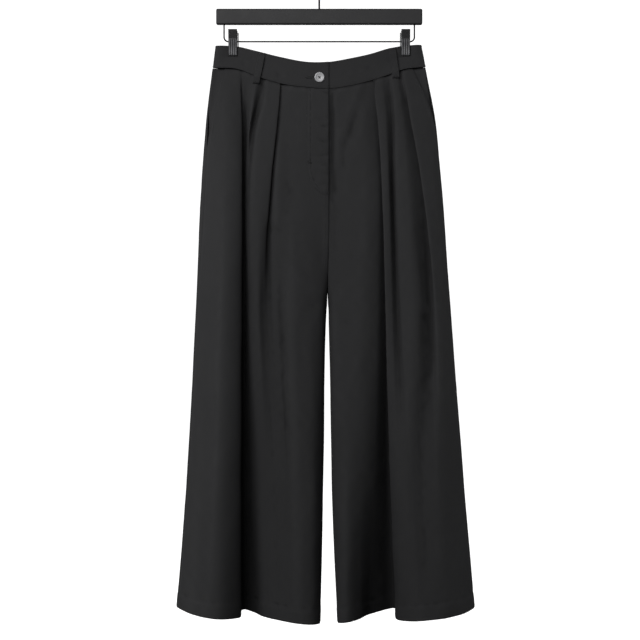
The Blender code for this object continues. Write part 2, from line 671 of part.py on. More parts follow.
def rod(name, ends, radius, sides, colour):
    """A straight round bar between two points."""
    start, stop = (np.array(end, float) for end in ends)
    axis = (stop - start) / np.linalg.norm(stop - start)
    side = np.cross(axis, (0.31, 0.83, 0.46))
    side /= np.linalg.norm(side)
    other = np.cross(axis, side)
    turns = np.arange(sides) * 2 * math.pi / sides
    ring = radius * (np.outer(np.cos(turns), side) + np.outer(np.sin(turns), other))
    points = np.concatenate([start + ring, stop + ring])
    faces = [tuple(range(sides)), tuple(range(sides, 2 * sides))]
    for number in range(sides):
        after = (number + 1) % sides
        faces.append((number, after, sides + after, sides + number))
    return solid_from(name, points, faces, colour)


def make_button():
    row = (waist_height("top", BUTTON_ACROSS) - BUTTON_HEIGHT) / (
        waist_height("top", BUTTON_ACROSS) - waist_height("seam", BUTTON_ACROSS))
    face = band_forward(BUTTON_ACROSS, float(row), False) + FIT_GAP
    ends = [(BUTTON_ACROSS, -face - BUTTON_THICK, BUTTON_HEIGHT),
            (BUTTON_ACROSS, -face, BUTTON_HEIGHT)]
    button = rod("button", ends, BUTTON_RADIUS, 28, BUTTON_GREY)
    edge = button.modifiers.new("rounded edge", "BEVEL")
    edge.width = BUTTON_EDGE * MM
    edge.segments = 1
    edge.angle_limit = math.radians(60)
    for number in range(4):
        turn = math.radians(45 + 90 * number)
        across = BUTTON_ACROSS + BUTTON_HOLE_OUT * math.cos(turn)
        height = BUTTON_HEIGHT + BUTTON_HOLE_OUT * math.sin(turn)
        ends = [(across, -face - BUTTON_THICK - 1, height), (across, -face + 1, height)]
        cutter = rod("button hole cutter %d" % number, ends, BUTTON_HOLE, 8, BUTTON_GREY)
        cut(button, hide_cutter(cutter))


# ---------------------------------------------------------------- the hanger

def wire(name, path, radius, colour):
    curve = bpy.data.curves.new(name, "CURVE")
    curve.dimensions = "3D"
    curve.bevel_depth = radius * MM
    curve.bevel_resolution = 3
    curve.use_fill_caps = True
    line = curve.splines.new("POLY")
    line.points.add(len(path) - 1)
    for point, place in zip(line.points, path):
        point.co = (place[0] * MM, place[1] * MM, place[2] * MM, 1)
    made = bpy.data.objects.new(name, curve)
    bpy.context.scene.collection.objects.link(made)
    curve.materials.append(material(colour))
    return made


def arc(centre, radius, start, stop):
    """Points on an arc in the plane of the hanger, both ends included."""
    steps = max(2, math.ceil(abs(stop - start) / ARC_STEP))
    turns = [start + (stop - start) * step / steps for step in range(steps + 1)]
    return [(centre[0] + radius * math.cos(turn), 0.0, centre[1] + radius * math.sin(turn))
            for turn in turns]


def hook_path():
    """Up the stem, out in a short bend, and round over the rail to the tip."""
    ring = HOOK_INSIDE + HOOK_WIRE
    low = math.radians(HOOK_LOW_ANGLE)
    bend = ring * math.cos(low) / (1 - math.cos(low))
    straight = -HOOK_INSIDE - (ring + bend) * math.sin(low)
    path = [(0.0, 0.0, BAR_TOP - SOCKET_DEPTH + FIT_GAP)]
    path += arc((bend, straight), bend, math.pi, math.pi - low)
    path += arc((0.0, -HOOK_INSIDE), ring, -low, math.radians(HOOK_TIP_ANGLE))[1:]
    return path


def rail_path():
    """Down from the bar, round a corner, across under the bar, and up again."""
    top = BAR_TOP - BAR_SIZE[2] + SOCKET_DEPTH - FIT_GAP
    corner = RAIL_HALF_SPAN - RAIL_CORNER
    low = RAIL_HEIGHT + RAIL_CORNER
    path = [(-RAIL_HALF_SPAN, 0.0, top)]
    path += arc((-corner, low), RAIL_CORNER, math.pi, 1.5 * math.pi)
    path += arc((corner, low), RAIL_CORNER, -0.5 * math.pi, 0.0)
    path += [(RAIL_HALF_SPAN, 0.0, top)]
    return path


def make_bar():
    half = np.array(BAR_SIZE) / 2
    middle = (0.0, 0.0, BAR_TOP - half[2])
    signs = [(x, y, z) for x in (-1, 1) for y in (-1, 1) for z in (-1, 1)]
    points = [half * sign + middle for sign in signs]
    faces = [(0, 1, 3, 2), (4, 6, 7, 5), (0, 4, 5, 1), (2, 3, 7, 6), (0, 2, 6, 4), (1, 5, 7, 3)]
    bar = solid_from("hanger_bar", points, faces, BLACK_BAR)
    edge = bar.modifiers.new("rounded edge", "BEVEL")
    edge.width = BAR_CORNER * MM
    edge.segments = 2
    low = BAR_TOP - BAR_SIZE[2]
    sockets = [(0.0, BAR_TOP + 1, BAR_TOP - SOCKET_DEPTH, HOOK_WIRE)]
    for side in (-1, 1):
        sockets.append((side * RAIL_HALF_SPAN, low - 1, low + SOCKET_DEPTH, RAIL_WIRE))
    for number, (across, mouth, end, radius) in enumerate(sockets):
        ends = [(across, 0.0, mouth), (across, 0.0, end)]
        cutter = rod("socket cutter %d" % number, ends, radius + FIT_GAP, 16, BLACK_BAR)
        cut(bar, hide_cutter(cutter))


def rib_profile():
    """Across one jaw: how far each line stands out of the plate, for its upright ribs."""
    pitch = CLIP_WIDTH / RIB_COUNT
    profile = [(-CLIP_WIDTH / 2, 0.0)]
    for number in range(RIB_COUNT):
        centre = -CLIP_WIDTH / 2 + (number + 0.5) * pitch
        profile += [(centre - RIB_FLAT * pitch / 2, RIB_RISE), (centre + RIB_FLAT * pitch / 2, RIB_RISE)]
        profile += [(-CLIP_WIDTH / 2 + (number + 1) * pitch, 0.0)]
    return profile


def make_jaw(name, across, behind):
    toward = 1 if behind else -1
    inner = []
    outer = []
    for offset, rise in rib_profile():
        inner.append([(across + offset, toward * step.inside, step.height) for step in JAW])
        outer.append([
            (across + offset, toward * (step.inside + JAW_PLATE + rise * step.ribbed), step.height)
            for step in JAW])
    return wall(name, np.array(outer), np.array(inner), CLIP_STEEL)


def make_spring(name, across):
    """The coil on the rail between the jaws, as one sleeve."""
    ends = [(across - SPRING_LENGTH / 2, 0.0, RAIL_HEIGHT),
            (across + SPRING_LENGTH / 2, 0.0, RAIL_HEIGHT)]
    sleeve = rod(name, ends, SPRING_RADIUS, 16, CLIP_STEEL)
    ends = [(across - SPRING_LENGTH, 0.0, RAIL_HEIGHT), (across + SPRING_LENGTH, 0.0, RAIL_HEIGHT)]
    cutter = rod(name + " bore cutter", ends, RAIL_WIRE + FIT_GAP, 16, CLIP_STEEL)
    cut(sleeve, hide_cutter(cutter))


def make_hanger():
    make_bar()
    wire("hanger_hook", hook_path(), HOOK_WIRE, BLACK_WIRE)
    wire("hanger_wire", rail_path(), RAIL_WIRE, BLACK_WIRE)
    for side, across in (("left", -CLIP_ACROSS), ("right", CLIP_ACROSS)):
        make_jaw("clip_%s_front_jaw" % side, across, behind=False)
        make_jaw("clip_%s_rear_jaw" % side, across, behind=True)
        make_spring("clip_%s_spring" % side, across)


def main():
    fresh_scene()
    for left in (True, False):
        make_panel(left, behind=False)
        make_panel(left, behind=True)
        make_pocket_side(left)
    make_fly()
    make_waistband()
    for loop in LOOPS:
        make_loop(loop)
    make_button()
    make_hanger()


main()
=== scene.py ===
import math
from collections import namedtuple

import bpy
import numpy as np
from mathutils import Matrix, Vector


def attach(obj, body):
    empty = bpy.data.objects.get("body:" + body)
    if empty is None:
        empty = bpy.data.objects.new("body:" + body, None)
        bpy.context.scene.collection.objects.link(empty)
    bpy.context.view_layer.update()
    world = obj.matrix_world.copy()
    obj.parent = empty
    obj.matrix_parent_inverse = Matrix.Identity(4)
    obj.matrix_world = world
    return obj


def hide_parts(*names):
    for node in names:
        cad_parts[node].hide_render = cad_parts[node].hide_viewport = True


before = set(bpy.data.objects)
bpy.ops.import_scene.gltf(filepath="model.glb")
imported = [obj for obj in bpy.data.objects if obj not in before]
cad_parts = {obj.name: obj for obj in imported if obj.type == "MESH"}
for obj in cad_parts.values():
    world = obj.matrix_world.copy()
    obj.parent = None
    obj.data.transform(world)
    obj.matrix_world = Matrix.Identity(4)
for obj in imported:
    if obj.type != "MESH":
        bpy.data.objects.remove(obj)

bl_info = {
    "name": "Pleated trousers on a clip hanger",
    "version": (1, 0, 0),
    "blender": (4, 5, 0),
    "location": "View3D > Sidebar > Trousers",
    "description": "Makes the cloth, stitching, button, clips and stage of a pair of hanging trousers",
    "category": "Object",
}

# Lengths in the tables are in millimetres. "Across" is measured along +X from the hook, "forward"
# towards -Y from the plane of the hanger. The panels and the waistband repeat the tables and the
# curves of the solid model, and are sampled finely here.

MM = 0.001

# Cloth
SEAM_GAP = 0.3
WAIST_GAP = 0.5
WAIST_PASSES = 3
SPAN_COLUMNS = 7
BAND_SPAN_COLUMNS = 9
MOUTH_SPAN_COLUMNS = 9
PATCH = 0.12
PATCH_DOWN = 0.003
HEM_DROP_OUTSIDE = -1194.0
HEM_DROP_INSIDE = -1220.0
CROTCH = -634.6
CROTCH_ROW = 0.407
HEM_TURN = 28.0

# Hanger
RAIL_HEIGHT = -145.0
CLIP_ACROSS = 160.1
CLIP_WIDTH = 16.4
JAW_PLATE = 1.3
RIB_COUNT = 4
RIB_RISE = 0.7
RIB_TOP = -142.0
GRIP_LOW = -138.9
GRIP_TOP = -124.8
STUD_ROWS = 7
EAR_LOW = -155.0
EAR_TOP = -128.5
COIL_TURNS = 9
COIL_RADIUS = 3.3
COIL_WIRE = 0.42
COIL_LENGTH = 8.2

# Closure. The button's profile is in shares of its radius and millimetres out from the cloth.
BUTTON_ACROSS = 0.4
BUTTON_HEIGHT = -213.0
BUTTON_RADIUS = 9.4
BUTTON_HOLE = 1.0
BUTTON_HOLE_OUT = 1.9
BUTTON_PROFILE = (
    (0.86, 0.0), (0.96, 0.35), (1, 1.1), (0.985, 1.9), (0.94, 2.55), (0.87, 2.95), (0.79, 2.98),
    (0.71, 2.75), (0.63, 2.3), (0.55, 2.02), (0.4, 1.92), (0.2, 1.9), (0.04, 1.9),
)
BUTTONHOLE_START = -24.0
BUTTONHOLE_END = -9.6
FIT_GAP = 0.3
FLY_EDGE = 17.9
FLY_WIDTH = 40.4
FLY_TOP = -234.4
FLY_BEND = -371.0
FLY_END = -432.0

# Belt loops
LOOP_WIDTH = 13.0
LOOP_WALL = 1.5
LOOP_STAND = 3.0
LOOP_SEAT = 0.4
LOOP_START = 1.5
LOOP_STITCH = 0.62
LOOP_COLUMNS = (0, 0.25, 0.5, LOOP_STITCH, 0.75, 0.88, 0.96, 1)

# Jaw profile, from the tip up to the grip: height, and the inner face's distance from the middle
JawPoint = namedtuple("JawPoint", "height inside")
JAW = (
    JawPoint(-171.5, 3.3),
    JawPoint(-153.0, 3.3),
    JawPoint(-147.0, 4.6),
    JawPoint(-142.0, 5.3),
    JawPoint(-141.0, 5.5),
    JawPoint(-123.0, 9.4),
)

# Heights at which each fold line states where it runs: seam, pocket, hip, crotch, knee, hem
LEVELS = (-215.0, -285.0, -370.0, -625.0, -905.0, -1205.0)

FoldLine = namedtuple("FoldLine", "name across forward")

# From the centre front out to the side seam. A pleat is an edge that lies over its tuck.
LEFT_FRONT = (
    FoldLine("inner round", (2, 2, 2, 6, 3.5, 0.5), (13.2, 20, 27, 22, 18, 22)),
    FoldLine("inner panel", (-25, -25, -25, -16, -11, -12), (12.4, 19, 27, 33, 36, 42)),
    FoldLine("soft trough", (-53, -57, -59, -53, -35, -31), (10.4, 16, 25, 38, 43, 49)),
    FoldLine("inner ridge", (-65, -70, -77, -80, -62, -53), (6.4, 13, 24, 37, 38, 45)),
    FoldLine("inner pleat tuck", (-78, -82, -89, -92, -79, -70), (5.2, 9, 17, 31, 31, 37)),
    FoldLine("inner pleat edge", (-71, -76, -85, -100, -88, -78), (10.2, 19, 30, 34, 25, 31)),
    FoldLine("pleat face", (-86, -94, -104, -112, -102, -92), (9.9, 20, 33, 41, 19, 20)),
    FoldLine("pleat outer edge", (-98, -112, -122, -123, -116, -107), (8.8, 17, 29, 36, 10, 2)),
    FoldLine("crease", (-103.5, -118, -129, -130, -127, -118), (4.4, 6.5, 15, 22, -6, -22)),
    FoldLine("wedge", (-117, -126, -134, -134, -133, -128), (9.2, 15, 13, 9, -18, -39)),
    FoldLine("main valley", (-140, -138, -139, -139, -140, -140), (5.6, 3, 1, -4, -26, -50)),
    FoldLine("main valley tuck", (-143, -146, -148, -149, -150, -148), (5.6, 7, 10, 6, 1, -12)),
    FoldLine("lobe edge", (-147, -142.5, -141.5, -142.5, -144, -145), (7.2, 17, 27, 38, 45, 42)),
    FoldLine("lobe crest", (-164, -167, -170, -175, -181, -184), (7.5, 25, 38, 57, 72, 84)),
    FoldLine("lobe shoulder", (-186, -190, -193, -202, -212, -229), (5, 18, 27, 36, 46, 62)),
    FoldLine("side seam", (-199.6, -206, -209, -225, -240, -263), (1.4, 7, 11, 8, 5, 2)),
)

# Behind, from the side seam in to the centre back
LEFT_BACK = (
    FoldLine("side turn", (-200.2, -208.6, -216, -228, -242.5, -265.5), (-3, -3, -3, -6, -8, -10)),
    FoldLine("hip back", (-180, -187, -193, -203, -214, -234), (-7, -16, -22, -38, -52, -66)),
    FoldLine("outer fold", (-140, -142, -145, -148, -150, -152), (-10, -23, -34, -58, -78, -98)),
    FoldLine("back hollow", (-105, -107, -108, -108, -104, -98), (-10.6, -20, -29, -46, -57, -64)),
    FoldLine("inner fold", (-65, -65, -64, -60, -55, -48), (-12, -24, -37, -60, -71, -82)),
    FoldLine("seat", (-32, -32, -30, -22, -18, -15), (-13, -24, -36, -46, -49, -56)),
    FoldLine("seat round", (-10, -8, -3, 6, 3, 0), (-13.6, -23, -34, -24, -20, -27)),
)

RIGHT_FRONT = (
    FoldLine("inner round", (27, 27, 25, 25, 28.5, 36), (11.2, 17, 23, 21, 20, 17)),
    FoldLine("inner panel", (49, 52, 58, 52, 48, 50), (11.6, 18, 26, 33, 34, 23)),
    FoldLine("panel fall", (73, 79, 86, 81, 73, 75), (10.9, 19, 28, 38, 31, 0)),
    FoldLine("valley slope", (91, 98, 105, 107, 103, 94), (8.6, 14, 23, 30, 12, -38)),
    FoldLine("main valley", (105, 113, 120, 125, 129, 140), (5.2, 7, 11, 9, -24, -84)),
    FoldLine("main valley tuck", (108, 117, 124, 130, 136, 149), (6.4, 10, 15, 18, 8, -40)),
    FoldLine("inner pleat edge", (98, 107, 113, 121, 128, 140.5), (10, 18, 27, 36, 44, 26)),
    FoldLine("inner pleat face", (114, 121, 125, 132, 138, 147), (9.6, 20, 29, 37, 57, 55)),
    FoldLine("outer valley", (129, 135, 136, 143, 151, 162), (5.8, 11, 16, 28, 64, 74)),
    FoldLine("lobe edge", (135, 140, 141, 150, 164, 178), (8.8, 20, 29, 44, 69, 84)),
    FoldLine("lobe crest", (145, 152, 159, 174, 188, 204), (8.4, 21, 32, 52, 72, 87)),
    FoldLine("outer pleat tuck", (152, 169, 186, 206, 212, 228), (4.8, 10.5, 17, 31, 63, 82)),
    FoldLine("outer pleat edge", (158, 167, 182, 212, 223, 245), (8.2, 20, 30, 41, 58, 71)),
    FoldLine("lobe shoulder", (174, 191, 204, 229, 244, 265), (6.4, 17, 25, 32, 41, 52)),
    FoldLine("side seam", (200.4, 213, 222.5, 242, 263.5, 288.5), (1.4, 4, 4, 2, 2, 0)),
)

RIGHT_BACK = (
    FoldLine("side turn", (200.6, 213, 221, 241, 262, 287), (-3, -5, -7, -11, -14, -17)),
    FoldLine("hip back", (180, 191, 199, 215, 232, 254), (-7, -16, -23, -38, -53, -68)),
    FoldLine("outer fold", (146, 150, 153, 160, 165, 176), (-9.6, -23, -34, -58, -80, -102)),
    FoldLine("back hollow", (108, 112, 116, 122, 128, 138), (-10.6, -20, -29, -50, -68, -104)),
    FoldLine("inner fold", (66, 70, 74, 80, 86, 92), (-12, -24, -37, -61, -74, -90)),
    FoldLine("seat", (34, 38, 44, 54, 58, 62), (-13, -24, -36, -46, -52, -62)),
    FoldLine("seat round", (12, 16, 22, 27, 30, 38), (-13.6, -23, -34, -24, -20, -27)),
)

# Inner edges of the four panels. Above the crotch they are the centre seams, below it the inseams.
InnerEdge = namedtuple("InnerEdge", "height front_left front_right back front lap behind part")
INNER_EDGES = (
    InnerEdge(-215, 17.2, 9.0, 0.0, 13.4, 2.0, -13.6, 0.15),
    InnerEdge(-300, 17.3, 9.0, 2.5, 21.5, 2.0, -22.0, 0.15),
    InnerEdge(-424, 17.3, 10.0, 7.0, 27.0, 2.0, -33.0, 0.15),
    InnerEdge(-490, 17.0, 14.0, 9.5, 26.5, 2.0, -34.0, 0.15),
    InnerEdge(-530, 16.4, 17.0, 11.5, 24.0, 1.6, -31.0, 0.15),
    InnerEdge(-580, 15.6, 16.2, 13.5, 17.0, 0.4, -23.0, 0.2),
    InnerEdge(-615, 15.0, 16.0, 15.0, 8.0, 0.0, -11.0, 0.4),
    InnerEdge(CROTCH, 14.4, 16.4, 15.4, 0.0, 0.0, 0.0, 1.0),
    InnerEdge(-660, 13.2, 17.0, 15.1, 0.0, 0.0, 0.0, 1.9),
    InnerEdge(-774, 10.2, 19.6, 14.9, 0.0, 0.0, 0.0, 4.7),
    InnerEdge(-885, 9.4, 21.2, 15.3, 0.0, 0.0, 0.0, 5.9),
    InnerEdge(-997, 7.2, 23.4, 15.3, 0.0, 0.0, 0.0, 8.1),
    InnerEdge(-1108, 5.4, 27.8, 16.6, 0.0, 0.0, 0.0, 11.2),
    InnerEdge(-1220, 1.8, 33.4, 17.6, 0.0, 0.0, 0.0, 15.8),
)

# The waistband's upper and lower edge
WaistLine = namedtuple("WaistLine", "across top seam")
WAIST_LINE = (
    WaistLine(-200, -152.3, -194.0),
    WaistLine(-150, -154.4, -197.0),
    WaistLine(-120, -162.0, -208.5),
    WaistLine(-72, -174.6, -223.8),
    WaistLine(-20, -184.3, -231.4),
    WaistLine(8, -184.6, -233.6),
    WaistLine(60, -176.6, -227.4),
    WaistLine(95, -168.5, -218.4),
    WaistLine(130, -157.6, -206.8),
    WaistLine(155, -153.0, -197.6),
    WaistLine(200, -150.4, -192.2),
)

# The waistband all the way round, from its overlap at the button
BandKey = namedtuple("BandKey", "name top_across seam_across top_forward seam_forward")
BAND = (
    BandKey("overlap edge", 17.4, 17.4, 14.6, 14.6),
    BandKey("button", -4, -4, 14.4, 14.4),
    BandKey("left front", -52, -52, 12.2, 12.6),
    BandKey("left pleats", -108, -110, 7.4, 10.4),
    BandKey("left clip inside", -148, -150, 2.8, 8.9),
    BandKey("left clip outside", -171, -174, 2.8, 7.6),
    BandKey("left hip", -184, -189, 3.8, 5.6),
    BandKey("left side", -192.4, -197.6, 0.4, 1.4),
    BandKey("left hip behind", -184, -189, -3.8, -5.8),
    BandKey("left clip outside behind", -171, -174, -2.8, -7.9),
    BandKey("left clip inside behind", -148, -150, -2.8, -9.5),
    BandKey("left back", -108, -110, -7.6, -11.4),
    BandKey("left seat", -52, -52, -12.2, -13.4),
    BandKey("centre back", 0, 0, -13.6, -14.6),
    BandKey("right seat", 52, 52, -12.2, -13.4),
    BandKey("right back", 108, 110, -7.6, -11.4),
    BandKey("right clip inside behind", 148, 150, -2.8, -9.5),
    BandKey("right clip outside behind", 170, 174, -2.8, -7.9),
    BandKey("right hip behind", 182, 189, -3.8, -5.8),
    BandKey("right side", 189.6, 197.6, 0.4, 1.4),
    BandKey("right hip", 182, 189, 3.8, 5.6),
    BandKey("right clip outside", 170, 174, 2.8, 7.6),
    BandKey("right clip inside", 148, 150, 2.8, 8.9),
    BandKey("right pleats", 108, 110, 7.4, 10.0),
    BandKey("right front", 52, 52, 11.6, 11.9),
    BandKey("underlap", 24, 24, 11.5, 11.5),
    BandKey("underlap edge", 6, 6, 11.4, 11.4),
)
LEFT_SIDE_KEY = 7
RIGHT_SIDE_KEY = 19
LAST_BAND_KEY = len(BAND) - 1
BAND_DEPTH = 46
BAND_FLAT = 0.42
BAND_FLARE = 1.5

# How far the pocket mouth cuts into the front, counted in fold lines in from the side seam, the
# height of its end, and the row in which its stitching ends
PocketMouth = namedtuple("PocketMouth", "cut end last_stitch")
LEFT_POCKET = PocketMouth(1.45, -346.0, 0.112)
RIGHT_POCKET = PocketMouth(0.85, -312.0, 0.094)
POCKET_STITCHES_IN = (1.6, 7.4)
POCKET_TOP = -195.0
POCKET_UNDERLAP = 0.3
POCKET_BEHIND = 2.0
POCKET_FLUSH = 0.4
POCKET_STOP = 0.93

LoopPlace = namedtuple("LoopPlace", "name behind top_across low_across low_drop lean")
LOOPS = (
    LoopPlace("belt_loop_front_left", False, -106.5, -116.5, 14.0, 0.03),
    LoopPlace("belt_loop_front_right", False, 136.0, 141.5, 11.0, 0.06),
    LoopPlace("belt_loop_back_left", True, -118.0, -118.0, 7.0, 0.3),
    LoopPlace("belt_loop_back_centre", True, 0.0, 0.0, 5.0, 0.5),
    LoopPlace("belt_loop_back_right", True, 118.0, 118.0, 7.0, 0.3),
)


# ---------------------------------------------------------------- curves

def slopes(places, values):
    """Slope of a smooth curve at each of its points, from the slopes of the spans beside it."""
    spans = np.diff(places)
    rises = np.diff(values) / spans
    middle = (rises[:-1] * spans[1:] + rises[1:] * spans[:-1]) / (spans[:-1] + spans[1:])
    return np.concatenate([rises[:1], middle, rises[-1:]])


def smooth(places, values, wanted):
    """Value of the smooth curve through (places, values), which runs on straight past its ends."""
    order = np.argsort(places)
    places = np.asarray(places, float)[order]
    values = np.asarray(values, float)[order]
    wanted = np.asarray(wanted, float)
    slope = slopes(places, values)
    inside = np.clip(wanted, places[0], places[-1])
    left = np.clip(np.searchsorted(places, inside) - 1, 0, len(places) - 2)
    span = places[left + 1] - places[left]
    t = (inside - places[left]) / span
    blend = t * t * (3 - 2 * t)
    curve = values[left] * (1 - blend) + values[left + 1] * blend
    curve += span * t * (1 - t) * ((1 - t) * slope[left] - t * slope[left + 1])
    past = wanted - inside
    return curve + past * np.where(past < 0, slope[0], slope[-1])


def between(keys, places):
    """Points on the centripetal spline through keys (key, point, axis), at places counted in keys."""
    keys = np.concatenate([2 * keys[:1] - keys[1:2], keys, 2 * keys[-1:] - keys[-2:-1]])
    first = np.clip(np.floor(places).astype(int), 0, len(keys) - 4)
    t = (places - first)[:, None]
    each = np.arange(len(places))
    p0, p1, p2, p3 = (keys[first + step, each] for step in range(4))
    knots = [np.zeros((len(places), 1))]
    for near, far in ((p0, p1), (p1, p2), (p2, p3)):
        step = np.sqrt(np.linalg.norm(far - near, axis=1, keepdims=True))
        knots.append(knots[-1] + np.maximum(step, 1e-6))
    k0, k1, k2, k3 = knots
    at = k1 + (k2 - k1) * t
    a1 = p0 + (p1 - p0) * (at - k0) / (k1 - k0)
    a2 = p1 + (p2 - p1) * (at - k1) / (k2 - k1)
    a3 = p2 + (p3 - p2) * (at - k2) / (k3 - k2)
    b1 = a1 + (a2 - a1) * (at - k0) / (k2 - k0)
    b2 = a2 + (a3 - a2) * (at - k1) / (k3 - k1)
    return b1 + (b2 - b1) * (at - k1) / (k2 - k1)


def bell(distance, width):
    """1 at no distance, and less and less away from it, down to nothing."""
    return np.exp(-(distance / width) ** 2)


def soft_step(distance, softness):
    """1 well before no distance and 0 well past it, with a soft change between them."""
    return 1 / (1 + np.exp(np.minimum(distance / softness, 700)))


# ---------------------------------------------------------------- the legs

def edge_column(name, heights):
    """One column of the table of inner edges, read at these heights."""
    table = [row.height for row in INNER_EDGES]
    return smooth(table, [getattr(row, name) for row in INNER_EDGES], heights)


def inner_edge(left, behind, heights):
    """Where one panel's inner edge runs: across and forward."""
    if behind:
        side = -1 if left else 1
        across = edge_column("back", heights) + side * edge_column("part", heights)
        forward = edge_column("behind", heights) - SEAM_GAP / 2
    else:
        across = edge_column("front_left" if left else "front_right", heights)
        forward = edge_column("front", heights) + SEAM_GAP / 2
        if not left:
            forward = forward - edge_column("lap", heights)
    return np.stack([across, forward], axis=-1)


def fold_point(line, heights):
    across = smooth(LEVELS, line.across, heights)
    forward = smooth(LEVELS, line.forward, heights)
    return np.stack([across, forward], axis=-1)


def leg_lines(left):
    return (LEFT_FRONT + LEFT_BACK) if left else (RIGHT_FRONT + RIGHT_BACK)


def side_key(left):
    """Number of the side seam among a leg's fold lines, whose inner front edge is number 0."""
    return len(LEFT_FRONT if left else RIGHT_FRONT)


def last_key(left):
    return len(leg_lines(left)) + 1


def section(left, places, heights):
    """Across and forward of the leg's outside, at places counted in fold lines and at heights."""
    keys = [inner_edge(left, False, heights)]
    keys += [fold_point(line, heights) for line in leg_lines(left)]
    keys += [inner_edge(left, True, heights)]
    return between(np.array(keys), np.clip(places, 0, last_key(left)))


def waist_height(column, across):
    table = [row.across for row in WAIST_LINE]
    return smooth(table, [getattr(row, column) for row in WAIST_LINE], across)


def leg_heights(left, places, rows):
    """Heights of points at places round a leg, a share of the way from the waist seam to the hem."""
    top = np.full(len(places), float(LEVELS[0]))
    for _ in range(WAIST_PASSES):
        top = waist_height("seam", section(left, places, top)[:, 0]) - WAIST_GAP
    at_hem = section(left, places, np.full(len(places), float(LEVELS[-1])))[:, 0]
    ends = section(left, np.array([side_key(left), 0.0]), np.full(2, float(LEVELS[-1])))[:, 0]
    share = np.clip((at_hem - ends[0]) / (ends[1] - ends[0]), 0, 1)
    low = HEM_DROP_OUTSIDE + (HEM_DROP_INSIDE - HEM_DROP_OUTSIDE) * share
    above = top + (CROTCH - top) * rows / CROTCH_ROW
    below = CROTCH + (low - CROTCH) * (rows - CROTCH_ROW) / (1 - CROTCH_ROW)
    return np.where(rows < CROTCH_ROW, above, below)


def leg_points(left, places, rows):
    """Points of a leg's outside. Places and rows are grids of one shape."""
    flat = np.clip(places, 0, last_key(left)).ravel()
    heights = leg_heights(left, flat, rows.ravel())
    plan = section(left, flat, heights)
    return np.stack([plan[:, 0], -plan[:, 1], heights], axis=-1).reshape(places.shape + (3,))


def leg_normals(left, places, rows):
    """Unit normals that point out of the leg, smoothed over a small patch of it."""
    across = leg_points(left, places + PATCH, rows) - leg_points(left, places - PATCH, rows)
    down = leg_points(left, places, rows + PATCH_DOWN) - leg_points(left, places, rows - PATCH_DOWN)
    normal = np.cross(across, down) * (1 if left else -1)
    return normal / np.maximum(np.linalg.norm(normal, axis=-1, keepdims=True), 1e-12)


def square_inner_edge(normals, grid, column, left):
    """Turns an inner edge's normals so that it meets its neighbour squarely at the seam."""
    edge = normals[column]
    height = grid[column][:, 2]
    edge[height > CROTCH + 1, 0] = 0
    edge[height < CROTCH - 1] = (1.0 if left else -1.0, 0, 0)
    edge[np.abs(height - CROTCH) <= 1] = (0, 0, -1)
    normals[column] = edge / np.linalg.norm(edge, axis=-1, keepdims=True)
    return normals


def level_rows(normals, rows):
    """Turns the normals of these rows level, so that a cut edge stays at its own height."""
    for row in rows:
        normals[:, row, 2] = 0
        normals[:, row] /= np.linalg.norm(normals[:, row], axis=-1, keepdims=True)
    return normals


def spaced(start, stop, per_span=SPAN_COLUMNS):
    """Places from start to stop, the same number in each span between two fold lines."""
    inner = np.arange(math.floor(start) * per_span + 1, math.ceil(stop) * per_span) / per_span
    return [start] + [place for place in inner if start < place < stop] + [stop]


def seam_share(left, rows):
    """Share of a span that half a seam's gap takes at the side seam, in each row."""
    side = np.full(len(rows), float(side_key(left)))
    step = leg_points(left, side + 0.1, rows) - leg_points(left, side - 0.1, rows)
    return 0.2 * (SEAM_GAP / 2 + 0.05) / np.linalg.norm(step, axis=-1)


def pocket_cut(left, rows):
    """How many fold lines the pocket mouth takes off the front, in each row."""
    pocket = LEFT_POCKET if left else RIGHT_POCKET
    side = np.full(len(rows), float(side_key(left)))
    heights = leg_heights(left, side, rows)
    share = (heights - pocket.end) / (POCKET_TOP - pocket.end)
    return pocket.cut * np.clip(share, 0, 1.05)


def front_places(left, rows):
    """Grid of places of a front panel, whose outer columns follow the slant of the pocket mouth."""
    side = side_key(left)
    edge = side - np.maximum(pocket_cut(left, rows), seam_share(left, rows))
    columns = [np.full(len(rows), place) for place in spaced(0, side - 2)]
    shares = np.arange(1, 2 * MOUTH_SPAN_COLUMNS + 1) / (2 * MOUTH_SPAN_COLUMNS)
    columns += [(side - 2) * (1 - share) + edge * share for share in shares]
    return np.array(columns, float)


def back_places(left, rows):
    edge = side_key(left) + seam_share(left, rows)
    inner = spaced(side_key(left), last_key(left))[1:]
    return np.array([edge] + [np.full(len(rows), place) for place in inner], float)


def band_points(places, rows):
    """Points of the waistband's outside. Places and rows are grids of one shape."""
    flat = np.clip(places, 0, LAST_BAND_KEY).ravel()
    down = rows.ravel()
    flare = np.clip((down - BAND_FLAT) / (1 - BAND_FLAT), 0, 1) ** BAND_FLARE
    keys = []
    for key in BAND:
        across = key.top_across + (key.seam_across - key.top_across) * down
        forward = key.top_forward + (key.seam_forward - key.top_forward) * flare
        keys.append(np.stack([across, forward], axis=-1))
    plan = between(np.array(keys), flat)
    top = waist_height("top", plan[:, 0])
    height = top + (waist_height("seam", plan[:, 0]) - top) * down
    return np.stack([plan[:, 0], -plan[:, 1], height], axis=-1).reshape(places.shape + (3,))


def band_normals(places, rows):
    across = band_points(places + PATCH, rows) - band_points(places - PATCH, rows)
    down = band_points(places, rows + PATCH) - band_points(places, rows - PATCH)
    normal = np.cross(across, down)
    return level_rows(normal, range(normal.shape[1]))


def band_share(key):
    """Share of a span that half a seam's gap takes at the band's side seams."""
    places = np.array([[key - 0.1], [key + 0.1]])
    ends = band_points(places, np.zeros(places.shape))
    return 0.2 * (SEAM_GAP / 2 + 0.05) / np.linalg.norm(ends[1] - ends[0])


